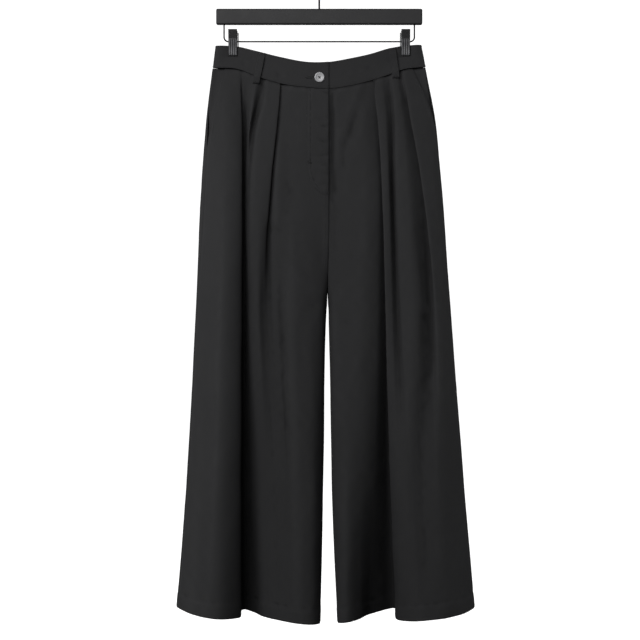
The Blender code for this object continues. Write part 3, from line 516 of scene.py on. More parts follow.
def band_forward(across, row, behind):
    """How far forward the waistband's outside lies, at a distance across and a share down it."""
    if behind:
        places = np.linspace(LEFT_SIDE_KEY + 1, RIGHT_SIDE_KEY - 1, 201)
    elif across < BAND[0].top_across:
        places = np.linspace(LEFT_SIDE_KEY - 1, 0, 121)
    else:
        places = np.linspace(LAST_BAND_KEY, RIGHT_SIDE_KEY + 1, 121)
    points = band_points(places, np.full(len(places), min(row, 1.0)))
    return np.interp(across, points[:, 0], -points[:, 1])


Crease = namedtuple("Crease", "name width rise path")

# Soft troughs and ridges: half width, rise outward (a trough is negative), and the path
# as across and height
FRONT_LEFT_CREASES = (
    Crease("gather under the loop", 5, -2.4, ((-102.5, -221), (-104.4, -239), (-108, -258),
           (-113.6, -276), (-119, -294), (-124.6, -313), (-126.4, -331))),
    Crease("trough beside the fly", 16, -1.6, ((-64, -279), (-58, -368), (-58, -442), (-62, -552))),
    Crease("pull at the button", 9, -0.7, ((-20, -240), (-44, -262), (-66, -300))),
    Crease("fork pull left", 12, -1.0, ((10, -600), (-18, -582), (-48, -548))),
    Crease("fork pull low", 13, -0.9, ((8, -622), (-16, -640), (-40, -690))),
    Crease("soft knee bend", 26, -1.6, ((-28, -760), (-52, -905), (-48, -1040))),
    Crease("lobe flat", 22, -1.4, ((-178, -420), (-186, -640), (-192, -860), (-200, -1060))),
    Crease("pocket pull", 11, -0.8, ((-196, -300), (-182, -352), (-176, -420))),
    Crease("fall of the second pleat", 20, -8.0, ((-80, -500), (-76, -662), (-73, -885), (-69, -1200))),
    Crease("ridge of the second pleat", 14, 2.5, ((-54, -480), (-52, -662), (-49, -885), (-46, -1180))),
)
FRONT_RIGHT_CREASES = (
    Crease("fall behind the fly", 6, -2.6, ((23, -236), (24, -300), (24, -360), (22, -440))),
    Crease("drag from the loop", 12, -2.4, ((92.7, -220), (78, -257), (63, -294), (50, -331),
           (41, -368), (30, -414))),
    Crease("ridge beside the drag", 9, 0.9, ((76, -228), (60, -262), (46, -300), (35, -338))),
    Crease("low trough", 20, -8.0, ((190, -660), (186, -845), (188, -991), (194, -1180))),
    Crease("outer ridge", 15, 3.5, ((216, -640), (218, -845), (222, -991), (230, -1180))),
    Crease("fork pull right", 12, -1.0, ((20, -604), (42, -584), (66, -546))),
    Crease("fork pull low", 13, -0.9, ((22, -626), (40, -648), (58, -694))),
    Crease("inner leg trough", 18, -1.6, ((46, -700), (52, -860), (44, -1010))),
    Crease("pocket pull", 11, -0.8, ((205, -296), (196, -340), (192, -396))),
)
BACK_LEFT_CREASES = (
    Crease("seat drag", 9, -1.8, ((-8, -430), (-44, -400), (-86, -352), (-112, -300))),
    Crease("seat smile", 10, -1.5, ((4, -560), (-30, -572), (-70, -556))),
    Crease("under seat", 12, -2.2, ((6, -640), (-34, -634), (-82, -646))),
    Crease("back dart line", 5, -1.0, ((-86, -214), (-84, -262), (-80, -310))),
    Crease("long soft trough", 18, -2.0, ((-84, -560), (-80, -760), (-74, -960), (-70, -1120))),
    Crease("outer trough", 20, -1.8, ((-190, -480), (-198, -700), (-206, -930), (-212, -1120))),
    Crease("side pull", 8, -1.1, ((-200, -300), (-176, -362), (-164, -440))),
)
BACK_RIGHT_CREASES = (
    Crease("seat drag", 9, -1.6, ((10, -450), (52, -414), (92, -366), (122, -312))),
    Crease("seat smile", 10, -1.4, ((12, -548), (46, -566), (84, -552))),
    Crease("under seat", 12, -2.0, ((20, -642), (58, -636), (104, -652))),
    Crease("back dart line", 5, -1.0, ((88, -212), (86, -260), (83, -306))),
    Crease("long soft trough", 19, -1.9, ((106, -540), (108, -740), (112, -950), (118, -1110))),
    Crease("outer trough", 20, -2.0, ((206, -470), (218, -690), (232, -900), (242, -1110))),
    Crease("side pull", 8, -1.0, ((206, -292), (184, -356), (176, -430))),
)
CREASES = {
    "front_left": FRONT_LEFT_CREASES,
    "front_right": FRONT_RIGHT_CREASES,
    "back_left": BACK_LEFT_CREASES,
    "back_right": BACK_RIGHT_CREASES,
}
UNEVEN_SEED = {"front_left": 3, "front_right": 8, "back_left": 13, "back_right": 21}

# Passes of smoothing, the depth in millimetres that counts as none, and as a full hollow, for the painted
# shade in hollows and the painted highlight on crests
SMOOTHING_PASSES = 2
SHALLOW = 0.1
FULL_HOLLOW = 0.3


# ---------------------------------------------------------------- relief

def crease_relief(creases, across, height):
    """Sum of the soft troughs and ridges at points on a panel, in millimetres outward."""
    total = np.zeros(across.shape)
    for number, crease in enumerate(creases):
        path = np.array(crease.path, float)
        lengths = np.linalg.norm(np.diff(path, axis=0), axis=1)
        along = np.concatenate([[0], np.cumsum(lengths)])
        steps = np.linspace(0, along[-1], 25)
        line = np.stack([smooth(along, path[:, 0], steps), smooth(along, path[:, 1], steps)], axis=-1)
        nearest = np.full(across.shape, 1e9)
        where = np.zeros(across.shape)
        for (x0, z0), (x1, z1), place in zip(line[:-1], line[1:], steps[:-1]):
            dx, dz = x1 - x0, z1 - z0
            run = dx * dx + dz * dz
            t = np.clip(((across - x0) * dx + (height - z0) * dz) / run, 0, 1)
            gap = np.hypot(across - x0 - t * dx, height - z0 - t * dz)
            closer = gap < nearest
            nearest = np.where(closer, gap, nearest)
            where = np.where(closer, place + t * math.sqrt(run), where)
        share = where / along[-1]
        taper = np.sin(math.pi * np.clip(share * 0.86 + 0.07, 0, 1)) ** 0.7
        uneven = 1 + 0.22 * np.sin(5.3 * share + 1.7 * number) + 0.1 * np.sin(13.1 * share + number)
        width = crease.width * (0.85 + 0.3 * share)
        total += crease.rise * taper * uneven * bell(nearest, width)
    return total


def ripple(across, height, seed, size):
    """Low unevenness of hanging cloth: seeded waves that run mostly down the leg."""
    random = np.random.RandomState(seed)
    total = np.zeros(across.shape)
    for _ in range(9):
        wave = random.uniform(38, 130)
        slant = random.uniform(-0.16, 0.16)
        phase = random.uniform(0, 2 * math.pi)
        drift = random.uniform(160, 420)
        turn = 2 * math.pi * (across + slant * height) / wave + phase
        total += np.sin(turn + 1.3 * np.sin(2 * math.pi * height / drift + phase)) * wave / 900
    return total * size


def mottle(across, height, seed, size):
    """Short soft undulations, longer down the leg than across it."""
    random = np.random.RandomState(seed)
    total = np.zeros(across.shape)
    for _ in range(14):
        wave = random.uniform(13, 40)
        slant = random.uniform(-0.6, 0.6)
        phase = random.uniform(0, 2 * math.pi)
        drift = random.uniform(50, 150)
        turn = 2 * math.pi * (across + slant * height) / wave + phase
        swell = 0.5 + 0.5 * np.sin(2 * math.pi * (height + slant * across) / drift + 2 * phase)
        total += np.sin(turn + np.sin(2 * math.pi * height / (drift * 0.7) + phase)) * swell * wave / 900
    return total * size


def edge_distance(grid):
    """Distance of each point from the first and from the last column, along its row."""
    steps = np.linalg.norm(np.diff(grid, axis=0), axis=-1)
    from_first = np.concatenate([np.zeros((1,) + steps.shape[1:]), np.cumsum(steps, axis=0)])
    return from_first, from_first[-1] - from_first


def relief_at(name, across, height, edges, above_hem, below_top, settings):
    """Relief of a panel at points, from their distances to its side edges, its hem and its top."""
    relief = crease_relief(CREASES[name], across, height) * settings.crease_depth
    fade = np.clip(below_top / 90, 0, 1)
    relief += ripple(across, height, UNEVEN_SEED[name], settings.unevenness) * fade
    relief += mottle(across, height, UNEVEN_SEED[name] + 1, settings.mottling)
    for gap in edges:
        relief -= 0.7 * bell(gap, 2.6)
        relief += 0.35 * bell(gap - 6, 3.5)
        relief *= np.clip(0.35 + gap / 26, 0, 1)
    turned = soft_step(above_hem - HEM_TURN, 1.1)
    waves = np.sin(across / 5.1 + 2.2 * np.sin(across / 23)) + 0.7 * np.sin(across / 2.9 + 1)
    relief += 0.6 * turned + 0.26 * waves * bell(above_hem - HEM_TURN, 6)
    relief -= 0.4 * bell(above_hem - HEM_TURN, 1.8)
    relief -= 0.5 * bell(above_hem, 1.6)
    gathers = np.sin(across / 3.3 + 2 * np.sin(across / 19)) * bell(below_top, 9)
    inside = 1 - bell(np.minimum(edges[0], edges[1]), 12)
    relief += (0.3 * gathers - 0.6 * bell(below_top, 2.2)) * inside
    return relief


def panel_relief(name, grid, settings):
    height = grid[:, :, 2]
    return relief_at(name, grid[:, :, 0], height, edge_distance(grid), height - grid[:, -1:, 2],
                     grid[:, :1, 2] - height, settings)


# ---------------------------------------------------------------- meshes

def linked(name, data):
    made = bpy.data.objects.new(name, data)
    bpy.context.scene.collection.objects.link(made)
    return made


def mesh_from(name, points, faces, coordinates=None, hollow=None):
    """An object at the origin from points in millimetres, with a UV map in metres if given, and
    how far each point lies in a hollow if given."""
    mesh = bpy.data.meshes.new(name)
    mesh.from_pydata((np.asarray(points) * MM).tolist(), [], faces)
    if coordinates is not None:
        layer = mesh.uv_layers.new(name="cloth")
        corners = np.empty(len(mesh.loops), np.int32)
        mesh.loops.foreach_get("vertex_index", corners)
        layer.data.foreach_set("uv", (np.asarray(coordinates)[corners] * MM).ravel())
    if hollow is not None:
        mesh.attributes.new("hollow", "FLOAT", "POINT").data.foreach_set("value", hollow)
    mesh.shade_smooth()
    mesh.set_sharp_from_angle(angle=math.radians(48))
    return linked(name, mesh)


def neighbour_mean(grid, passes):
    """The grid with each point moved to the mean of it and its neighbours, a few times over."""
    for _ in range(passes):
        wide = np.pad(grid, ((1, 1), (0, 0), (0, 0)), mode="edge")
        grid = (wide[:-2] + grid + wide[2:]) / 3
        tall = np.pad(grid, ((0, 0), (1, 1), (0, 0)), mode="edge")
        grid = (tall[:, :-2] + grid + tall[:, 2:]) / 3
    return grid


def hollows(outer, inner):
    """How far each point lies below the points around it: 1 deep in a groove, -1 on a crest."""
    out = outer - inner
    out = out / np.maximum(np.linalg.norm(out, axis=-1, keepdims=True), 1e-9)
    depth = ((neighbour_mean(outer, SMOOTHING_PASSES) - outer) * out).sum(axis=-1)
    depth = np.sign(depth) * np.maximum(np.abs(depth) - SHALLOW, 0)
    return np.clip(depth / FULL_HOLLOW, -1, 1)


def cloth_shell(name, outer, inner, pinch=0.25):
    """A closed shell between two grids, with softened edges and the cloth's own UV map."""
    columns, rows = outer.shape[:2]
    # Kept as the hollow attribute, which the twill uses for painted shade in hollows and a painted highlight
    # on crests
    hollow = hollows(outer, inner).ravel()
    outer, inner = outer.copy(), inner.copy()
    rim = np.zeros((columns, rows), bool)
    rim[[0, -1]] = True
    rim[:, [0, -1]] = True
    step = (inner[rim] - outer[rim]) * pinch
    outer[rim] += step
    inner[rim] -= step
    from_first, _ = edge_distance(outer)
    down = np.linalg.norm(np.diff(outer, axis=1), axis=-1).mean(axis=0)
    down = np.concatenate([[0], np.cumsum(down)])
    chart = np.stack([from_first - from_first[columns // 2].mean(),
                      np.broadcast_to(-down, (columns, rows))], axis=-1).reshape(-1, 2)
    points = np.concatenate([outer.reshape(-1, 3), inner.reshape(-1, 3)])
    back = columns * rows
    one = (np.arange(columns - 1)[:, None] * rows + np.arange(rows - 1)).ravel()
    quads = np.stack([one, one + 1, one + rows + 1, one + rows], axis=-1)
    numbers = np.concatenate([np.arange(rows), np.arange(1, columns) * rows + rows - 1,
                              (columns - 1) * rows + np.arange(rows - 2, -1, -1),
                              np.arange(columns - 2, 0, -1) * rows])
    after = np.roll(numbers, -1)
    edge = np.stack([numbers, numbers + back, after + back, after], axis=-1)
    faces = np.concatenate([quads, quads[:, ::-1] + back, edge])
    if signed_volume(points, faces) < 0:
        faces = faces[:, ::-1]
    return mesh_from(name, points, faces.tolist(), np.concatenate([chart, chart]),
                     np.concatenate([hollow, hollow]))


def signed_volume(points, quads):
    a, b, c, d = (points[quads[:, corner]] for corner in range(4))
    return float((np.cross(a, b) * c).sum() + (np.cross(a, c) * d).sum())


def panel_rows():
    above = np.linspace(0, CROTCH_ROW, 86)
    below = np.linspace(CROTCH_ROW, 1 - HEM_TURN * 1.3 / 590, 92)[1:]
    hem = np.linspace(below[-1], 1, 17)[1:]
    return np.concatenate([above, below, hem])


def panel_surface(name, settings):
    """Grid of a panel's outside with its relief, and the normals of its smooth form."""
    left = name.endswith("left")
    behind = name.startswith("back")
    rows = panel_rows()
    places = back_places(left, rows) if behind else front_places(left, rows)
    rows = np.broadcast_to(rows, places.shape)
    grid = leg_points(left, places, rows)
    normals = level_rows(leg_normals(left, places, rows), (0, -1))
    normals = square_inner_edge(normals, grid, -1 if behind else 0, left)
    return grid + normals * panel_relief(name, grid, settings)[:, :, None], normals


def finish_piece(piece, nodes, surface):
    """Gives a piece its material and its body, and hides the solids that it stands for."""
    piece.data.materials.clear()
    piece.data.materials.append(surface)
    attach(piece, "root")
    if nodes:
        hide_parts(*nodes)


def make_panel(name, settings):
    grid, normals = panel_surface(name, settings)
    wall = settings.wall / MM
    piece = cloth_shell(name + "_cloth", grid, grid - normals * wall)
    finish_piece(piece, [name], twill_material(settings))
    declare_sheet(grid)
    return piece


def declare_sheet(grid):
    """Works out the size of a piece's cut, the same grid laid flat: its width is the longest of its rows,
    its length the longest of its columns, and its area the sum of its cells, at most width times length. The
    sizes are not kept."""
    across = np.linalg.norm(np.diff(grid, axis=0), axis=-1)
    down = np.linalg.norm(np.diff(grid, axis=1), axis=-1)
    width = across.sum(axis=0).max() * MM
    length = down.sum(axis=1).max() * MM
    area = cell_area(grid) * MM * MM
    area = min(area, width * length)


def cell_area(grid):
    one = grid[1:, :-1] - grid[:-1, :-1]
    other = grid[:-1, 1:] - grid[:-1, :-1]
    third = grid[1:, :-1] - grid[1:, 1:]
    fourth = grid[:-1, 1:] - grid[1:, 1:]
    near = np.linalg.norm(np.cross(one, other), axis=-1)
    far = np.linalg.norm(np.cross(third, fourth), axis=-1)
    return float((near + far).sum() / 2)


# ---------------------------------------------------------------- waistband, fly, pockets, loops

BandPiece = namedtuple("BandPiece", "node start stop carrier")
BAND_WALL = 2.2
BAND_ROLL = 0.55
JAW_DENT = 1.1


def band_pieces():
    left = band_share(LEFT_SIDE_KEY)
    right = band_share(RIGHT_SIDE_KEY)
    return (
        BandPiece("waistband_front_left", 0, LEFT_SIDE_KEY - left, "clip_left_front_jaw"),
        BandPiece("waistband_back", LEFT_SIDE_KEY + left, RIGHT_SIDE_KEY - right,
                  "clip_left_rear_jaw"),
        BandPiece("waistband_front_right", RIGHT_SIDE_KEY + right, LAST_BAND_KEY,
                  "clip_right_front_jaw"),
    )


def soft_rows(count, length, roll):
    """Shares from 0 to 1, with closer ones near both ends for a rolled edge."""
    edge = np.array([0, 0.25, 0.55, 0.9, 1.4]) * roll / length
    middle = np.linspace(edge[-1], 1 - edge[-1], count)
    return np.concatenate([edge[:-1], middle, 1 - edge[-2::-1]])


def rolled(gap, roll):
    """How far the face falls back near an edge that is rolled over."""
    return -roll * bell(gap, 1.1)


def jaw_press(across, height):
    """The dent that each clip's jaws press into the waistband, deepest under the jaw's tip."""
    total = np.zeros(across.shape)
    for middle in (-CLIP_ACROSS, CLIP_ACROSS):
        aside = np.maximum(np.abs(across - middle) - CLIP_WIDTH / 2, 0)
        below = np.maximum(JAW[0].height - height, 0)
        total -= JAW_DENT * bell(np.hypot(aside, below), 4.5)
    return total


def band_surface(start, stop):
    """Grid and normals of one piece of the waistband, with its rolled edges and stitch grooves."""
    columns = spaced(start, stop, BAND_SPAN_COLUMNS)
    rows, places = np.meshgrid(soft_rows(26, BAND_DEPTH, 2.0), columns)
    grid = band_points(places, rows)
    normals = band_normals(places, rows)
    down = rows * BAND_DEPTH
    relief = rolled(down, BAND_ROLL) + rolled(BAND_DEPTH - down, BAND_ROLL * 0.7)
    across = grid[:, :, 0]
    for gap in (down - STITCH_IN, BAND_DEPTH - down - STITCH_IN):
        pucker = 1 + 0.5 * np.sin(across / 2.3 + 1.5 * np.sin(across / 17))
        relief -= 0.16 * pucker * bell(gap, 1.3)
    relief += ripple(across, grid[:, :, 2] * 2.2, 5, 0.9) * np.sin(math.pi * rows)
    relief += mottle(across, grid[:, :, 2], 41, 2.4) * np.sin(math.pi * rows)
    relief += jaw_press(across, grid[:, :, 2])
    return grid + normals * relief[:, :, None], normals, grid, columns


def make_band_cloth(piece, settings):
    outer, normals, plain, columns = band_surface(piece.start, piece.stop)
    sides = [column for column in (0, -1) if 0 < columns[column] < LAST_BAND_KEY]
    for column in sides:
        normals[column] = (math.copysign(1, plain[column, 0, 0]), 0, 0)
    inner = outer - normals * BAND_WALL
    toward = 1 if len(sides) == 2 else -1
    for column in sides:
        inner[:, :, 1] = toward * np.maximum(toward * inner[:, :, 1], toward * plain[column, :, 1])
    made = cloth_shell(piece.node + "_cloth", outer, inner, pinch=0.2)
    finish_piece(made, [piece.node], twill_material(settings))
    declare_sheet(outer)


def locate(across, heights):
    """Places, on the viewer's left front, of a grid of points near the fly."""
    near = np.linspace(0, 4, 161)
    place = np.empty(across.shape)
    for number, height in enumerate(heights):
        plan = section(True, near, np.full(len(near), height))
        place[:, number] = np.interp(-across[:, number], -plan[:, 0], near)
    return place


def front_row(place, height):
    """Row of a height above the fork, at a place on the viewer's left front."""
    flat = place.ravel()
    top = leg_heights(True, flat, np.zeros(len(flat))).reshape(place.shape)
    return CROTCH_ROW * (top - height) / (top - CROTCH)


def front_left_surface(across, heights, settings):
    """The viewer's left front near the fly: a grid of points with its relief, and normals."""
    place = locate(across, heights)
    row = front_row(place, np.broadcast_to(heights, across.shape))
    points = leg_points(True, place, row)
    normals = leg_normals(True, place, row)
    gap = np.maximum(FLY_EDGE - across, 0) * 1.02
    top = leg_points(True, place, np.zeros(place.shape))[:, :, 2]
    relief = relief_at("front_left", points[:, :, 0], points[:, :, 2], (gap, gap * 0 + 400),
                       gap * 0 + 400, top - points[:, :, 2], settings)
    return points + normals * relief[:, :, None], normals


FlyPucker = namedtuple("FlyPucker", "height inward width rise tilt")
FLY_PUCKERS = (
    FlyPucker(-243, 14, 4.2, -1.1, 0.3),
    FlyPucker(-289, 22, 5.2, -0.9, -0.12),
    FlyPucker(-305, 17, 3.8, -1.1, 0.15),
    FlyPucker(-335, 26, 4.6, -1.3, 0.25),
    FlyPucker(-357, 20, 3.8, -1.1, -0.1),
    FlyPucker(-377, 24, 4.4, -1.4, 0.14),
    FlyPucker(-395, 18, 4.2, -0.9, 0.25),
    FlyPucker(-413, 14, 3.6, -0.9, 0.05),
)


def fly_puckers(across, height):
    """Short sunk lines where the fly's layers draw up, deepest at its free edge."""
    gap = FLY_EDGE - across
    total = np.zeros(across.shape)
    for pucker in FLY_PUCKERS:
        line = pucker.height + pucker.tilt * gap
        fade = bell(gap, pucker.inward)
        total += pucker.rise * fade * bell(height - line, pucker.width)
    lumps = np.sin(height / 6.1 + 1.5 * np.sin(across / 7)) * np.sin(across / 6.3 + height / 31)
    return total + 0.4 * lumps * np.clip(gap / 5, 0, 1)


def fly_width(height):
    bend = np.clip((FLY_BEND - height) / (FLY_BEND - FLY_END), 0, 1)
    return FLY_WIDTH * np.sqrt(1 - bend * bend)


def make_fly_cloth(settings):
    """The fly's raised shape, full at its free edge and thinning out to the curved side."""
    heights = FLY_TOP + (FLY_END - FLY_TOP) * (1 - (1 - np.linspace(0, 0.985, 96)) ** 1.25)
    shares = np.linspace(0, 1, 26)
    width = fly_width(heights)
    across = FLY_EDGE - width[None, :] * (1 - shares[:, None])
    height = np.broadcast_to(heights, across.shape)
    points, normals = front_left_surface(across, heights, settings)
    from_edge = across - (FLY_EDGE - width[None, :])
    from_end = height - FLY_END
    inside = np.minimum(from_edge, from_end)
    rise = 0.3 + 1.0 * (1 - np.exp(-inside / 3.2))
    groove = bell(from_edge - FLY_STITCH_IN, 1.2)
    rise -= 0.55 * groove * (0.75 + 0.4 * np.sin(height / 1.9))
    rise += fly_puckers(across, height) * np.clip(inside / 4, 0, 1)
    rise -= 0.35 * bell(FLY_EDGE - across, 0.9)
    rise = np.maximum(rise, 0.22)
    outer = points + normals * rise[:, :, None]
    inner = points + normals * 0.12
    made = cloth_shell("fly_cloth", outer, inner, pinch=0.1)
    finish_piece(made, ["fly_placket"], twill_material(settings))
    declare_sheet(outer)


def make_pocket_cloth(left, settings):
    """The piece that shows in the pocket mouth."""
    pocket = LEFT_POCKET if left else RIGHT_POCKET
    side = side_key(left)
    depth = CROTCH_ROW * (POCKET_TOP - pocket.end) / (POCKET_TOP - CROTCH)
    rows = np.linspace(0, POCKET_STOP * depth, 44)
    mouth = pocket_cut(left, rows)
    inner = side - mouth - POCKET_UNDERLAP
    outer = side - seam_share(left, rows)
    shares = np.linspace(0, 1, 26)
    places = np.array([inner * (1 - share) + outer * share for share in shares])
    rows = np.broadcast_to(rows, places.shape)
    grid = leg_points(left, places, rows)
    normals = level_rows(leg_normals(left, places, rows), (0,))
    ramp = np.clip(2 * shares - 1, 0, 1)
    flush = np.outer(ramp * ramp * (3 - 2 * ramp), np.clip(mouth / POCKET_FLUSH - 1, 0, 1))
    face = grid - normals * (1 + POCKET_BEHIND) * (1 - flush)[:, :, None]
    face = face + normals * (ripple(grid[:, :, 0], grid[:, :, 2], 34, 0.25) - 0.35)[:, :, None]
    name = "pocket_side_left" if left else "pocket_side_right"
    made = cloth_shell(name + "_cloth", face, face - normals * settings.wall / MM)
    finish_piece(made, [name], twill_material(settings))
    declare_sheet(face)


def loop_surface(loop, columns, rows):
    """Grid of a belt loop's face, and the way it faces: -1 in front, 1 behind."""
    toward = 1 if loop.behind else -1
    top = waist_height("top", loop.top_across) - LOOP_START
    low = waist_height("seam", loop.low_across) - loop.low_drop
    grid = np.empty((len(columns), len(rows), 3))
    for number, share in enumerate(rows):
        height = top + (low - top) * share
        middle = loop.top_across + (loop.low_across - loop.top_across) * share
        middle += 0.5 * math.sin(5 * share + loop.top_across)
        stand = LOOP_SEAT + (LOOP_STAND - LOOP_SEAT) * min(1.0, 1.6 * math.sin(math.pi * share))
        for column, aside in enumerate(columns):
            across = middle + aside * LOOP_WIDTH / 2
            band_top = waist_height("top", across)
            row = (band_top - height) / (band_top - waist_height("seam", across))
            base = abs(band_forward(across, max(float(row), 0), loop.behind))
            base += loop.lean * max(waist_height("seam", across) - height, 0)
            out = base + stand + LOOP_WALL - 0.45 * abs(aside) ** 6
            out -= 0.22 * bell(abs(aside) - LOOP_STITCH, 0.13)
            grid[column, number] = (across, toward * out, height)
    return grid, toward


def make_loop_cloth(loop, settings):
    half = np.array(LOOP_COLUMNS)
    outer, toward = loop_surface(loop, np.concatenate([-half[:0:-1], half]), np.linspace(0, 1, 49))
    inner = outer.copy()
    inner[:, :, 1] -= toward * LOOP_WALL * 0.9
    made = cloth_shell(loop.name + "_cloth", outer, inner, pinch=0.3)
    finish_piece(made, [loop.name], twill_material(settings))
    declare_sheet(outer)


# ---------------------------------------------------------------- stitches

STITCH_IN = 3.0
FLY_STITCH_IN = 6.2

# Each stitch's seeded turn in radians, at most
STITCH_SCATTER = 0.12

# The fly's bartacks: middle across, its height, and half their run across and up
FLY_BARTACKS = ((-18, -371, 3.2, -1.0), (13.5, -421, 0.8, -5.0))


def start_tree(name, *inputs):
    """A node group from geometry to geometry with these further inputs (name, kind)."""
    tree = bpy.data.node_groups.new(name, "GeometryNodeTree")
    for label, kind in (("Geometry", "Geometry"),) + inputs:
        tree.interface.new_socket(label, in_out="INPUT", socket_type="NodeSocket" + kind)
    tree.interface.new_socket("Geometry", in_out="OUTPUT", socket_type="NodeSocketGeometry")
    return tree, tree.nodes.new("NodeGroupInput")


def end_tree(tree, copies, surface):
    """Realizes a node group's copies, gives them their material and makes them its result."""
    real = fill(node(tree, "GeometryNodeRealizeInstances"), Geometry=copies.outputs["Instances"])
    dressed = fill(node(tree, "GeometryNodeSetMaterial"), Geometry=real.outputs["Geometry"],
                   Material=surface)
    fill(node(tree, "NodeGroupOutput"), Geometry=dressed.outputs["Geometry"])
    return tree


def stitch_tree():
    """Geometry Nodes that lay stitches along curves, each a small rounded thread."""
    known = bpy.data.node_groups.get("stitch row")
    if known:
        return known
    tree, given = start_tree("stitch row", ("Pitch", "Float"), ("Stitch Length", "Float"),
                             ("Thread Radius", "Float"), ("Slant", "Float"), ("Seed", "Int"),
                             ("Thread", "Material"))
    rows = fill(node(tree, "GeometryNodeResampleCurve", mode="LENGTH"),
                Curve=given.outputs["Geometry"], Length=given.outputs["Pitch"])
    bead = fill(node(tree, "GeometryNodeMeshUVSphere"), Segments=7, Rings=5, Radius=0.5)
    width = math_node(tree, "MULTIPLY", given.outputs["Thread Radius"], 2.0)
    size = fill(node(tree, "ShaderNodeCombineXYZ"), X=width, Y=width, Z=given.outputs["Stitch Length"])
    shape = fill(node(tree, "GeometryNodeTransform"), Geometry=bead.outputs["Mesh"], Scale=size.outputs[0])
    along = fill(node(tree, "FunctionNodeAlignRotationToVector", axis="Z"),
                 Vector=node(tree, "GeometryNodeInputTangent").outputs[0])
    chance = node(tree, "FunctionNodeRandomValue", data_type="FLOAT_VECTOR")
    for socket in chance.inputs:
        if socket.name == "Seed":
            tree.links.new(given.outputs["Seed"], socket)
        elif socket.type == "VECTOR":
            sign = -1 if socket.name == "Min" else 1
            socket.default_value = (sign * STITCH_SCATTER,) * 3
    lean = fill(node(tree, "ShaderNodeCombineXYZ"), Y=given.outputs["Slant"])
    total = node(tree, "ShaderNodeVectorMath", operation="ADD")
    tree.links.new(chance.outputs[0], total.inputs[0])
    tree.links.new(lean.outputs[0], total.inputs[1])
    turned = fill(node(tree, "FunctionNodeRotateRotation", rotation_space="LOCAL"),
                  Rotation=along.outputs["Rotation"], Rotate_By=total.outputs[0])
    copies = fill(node(tree, "GeometryNodeInstanceOnPoints"), Points=rows.outputs["Curve"],
                  Instance=shape.outputs["Geometry"], Rotation=turned.outputs["Rotation"])
    return end_tree(tree, copies, given.outputs["Thread"])


def guide_curve(name, lines):
    """A curve object with one straight-sided spline for each line of points in millimetres."""
    curve = bpy.data.curves.new(name, "CURVE")
    curve.dimensions = "3D"
    for line in lines:
        spline = curve.splines.new("POLY")
        spline.points.add(len(line) - 1)
        flat = np.concatenate([np.asarray(line) * MM, np.ones((len(line), 1))], axis=1)
        spline.points.foreach_set("co", flat.ravel())
    return linked(name, curve)


def plain_piece(guide, name):
    """A plain mesh of what a guide comes to, with its modifiers or its bevel, in its place."""
    graph = bpy.context.evaluated_depsgraph_get()
    graph.update()
    mesh = bpy.data.meshes.new_from_object(guide.evaluated_get(graph))
    if not mesh.polygons:
        raise RuntimeError("%s: no faces were made" % name)
    data = guide.data
    bpy.data.objects.remove(guide)
    (bpy.data.curves if isinstance(data, bpy.types.Curve) else bpy.data.meshes).remove(data)
    mesh.name = name
    mesh.shade_smooth()
    return linked(name, mesh)


def run_nodes(guide, tree, values, name):
    """Runs a node group on a guide with these inputs, and leaves its result as a plain mesh."""
    modifier = guide.modifiers.new(tree.name, "NODES")
    modifier.node_group = tree
    for item in tree.interface.items_tree:
        if item.item_type == "SOCKET" and item.in_out == "INPUT" and item.name in values:
            modifier[item.identifier] = values[item.name]
    made = plain_piece(guide, name)
    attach(made, "root")
    return made


def stitch(name, lines, settings, pitch=None, length=None, slant=0.1, seed=1):
    values = {
        "Pitch": pitch or settings.pitch,
        "Stitch Length": length or settings.length,
        "Thread Radius": settings.thread,
        "Slant": slant,
        "Seed": seed,
        "Thread": thread_material(settings),
    }
    made = run_nodes(guide_curve(name + " guide", lines), stitch_tree(), values, name)
    return made


def thread_material(settings):
    """Spun thread with a fine fuzz in its tone and its bump, a little duller than the cloth."""
    known = bpy.data.materials.get("charcoal thread")
    if known:
        return known
    colour = tuple(settings.colour)
    made, tree, shader = new_material("charcoal thread", colour, 0.7)
    place = node(tree, "ShaderNodeTexCoord").outputs["Object"]
    fuzz = noise(tree, place, 1500.0, 2.0)
    fill(shader, Base_Color=toned(tree, fuzz, colour, 0.7, 1.3), Sheen_Weight=0.1,
         Specular_IOR_Level=0.2, Normal=bump(tree, fuzz, 0.0001, 0.6))
    return made


def band_line(start, stop, drop, out=0.12):
    """A line on the waistband's face, at a share down it."""
    places = np.linspace(start + 0.04, stop - 0.04, int((stop - start) * 26))[:, None]
    rows = np.full(places.shape, drop)
    grid = band_points(places, rows)
    normals = band_normals(places, rows)
    return (grid + normals * out)[:, 0]


def stitch_waistband(settings):
    drop = STITCH_IN / BAND_DEPTH
    lines = [band_line(piece.start, piece.stop, share)
             for piece in band_pieces() for share in (drop, 1 - drop)]
    edge = np.full((20, 1), 0.13)
    rows = np.linspace(drop, 1 - drop, 20)[:, None]
    lines.append((band_points(edge, rows) + band_normals(edge, rows) * 0.12)[:, 0])
    stitch("waistband_stitches", lines, settings, seed=2)


def fly_line(gap, first, settings, out):
    """The fly's stitch line at a distance in from its curved side, with its J shaped end."""
    width = FLY_WIDTH - gap
    low = FLY_END + gap
    straight = np.linspace(first, FLY_BEND, 60)
    turns = np.linspace(0, math.pi / 2, 26)[1:]
    heights = np.concatenate([straight, FLY_BEND - (FLY_BEND - low) * np.sin(turns)])
    across = np.concatenate([np.full(60, FLY_EDGE - width), FLY_EDGE - width * np.cos(turns)])
    across = np.minimum(across, FLY_EDGE - 1.2)
    points, normals = front_left_surface(across[None], heights, settings)
    return (points + normals * out)[0]


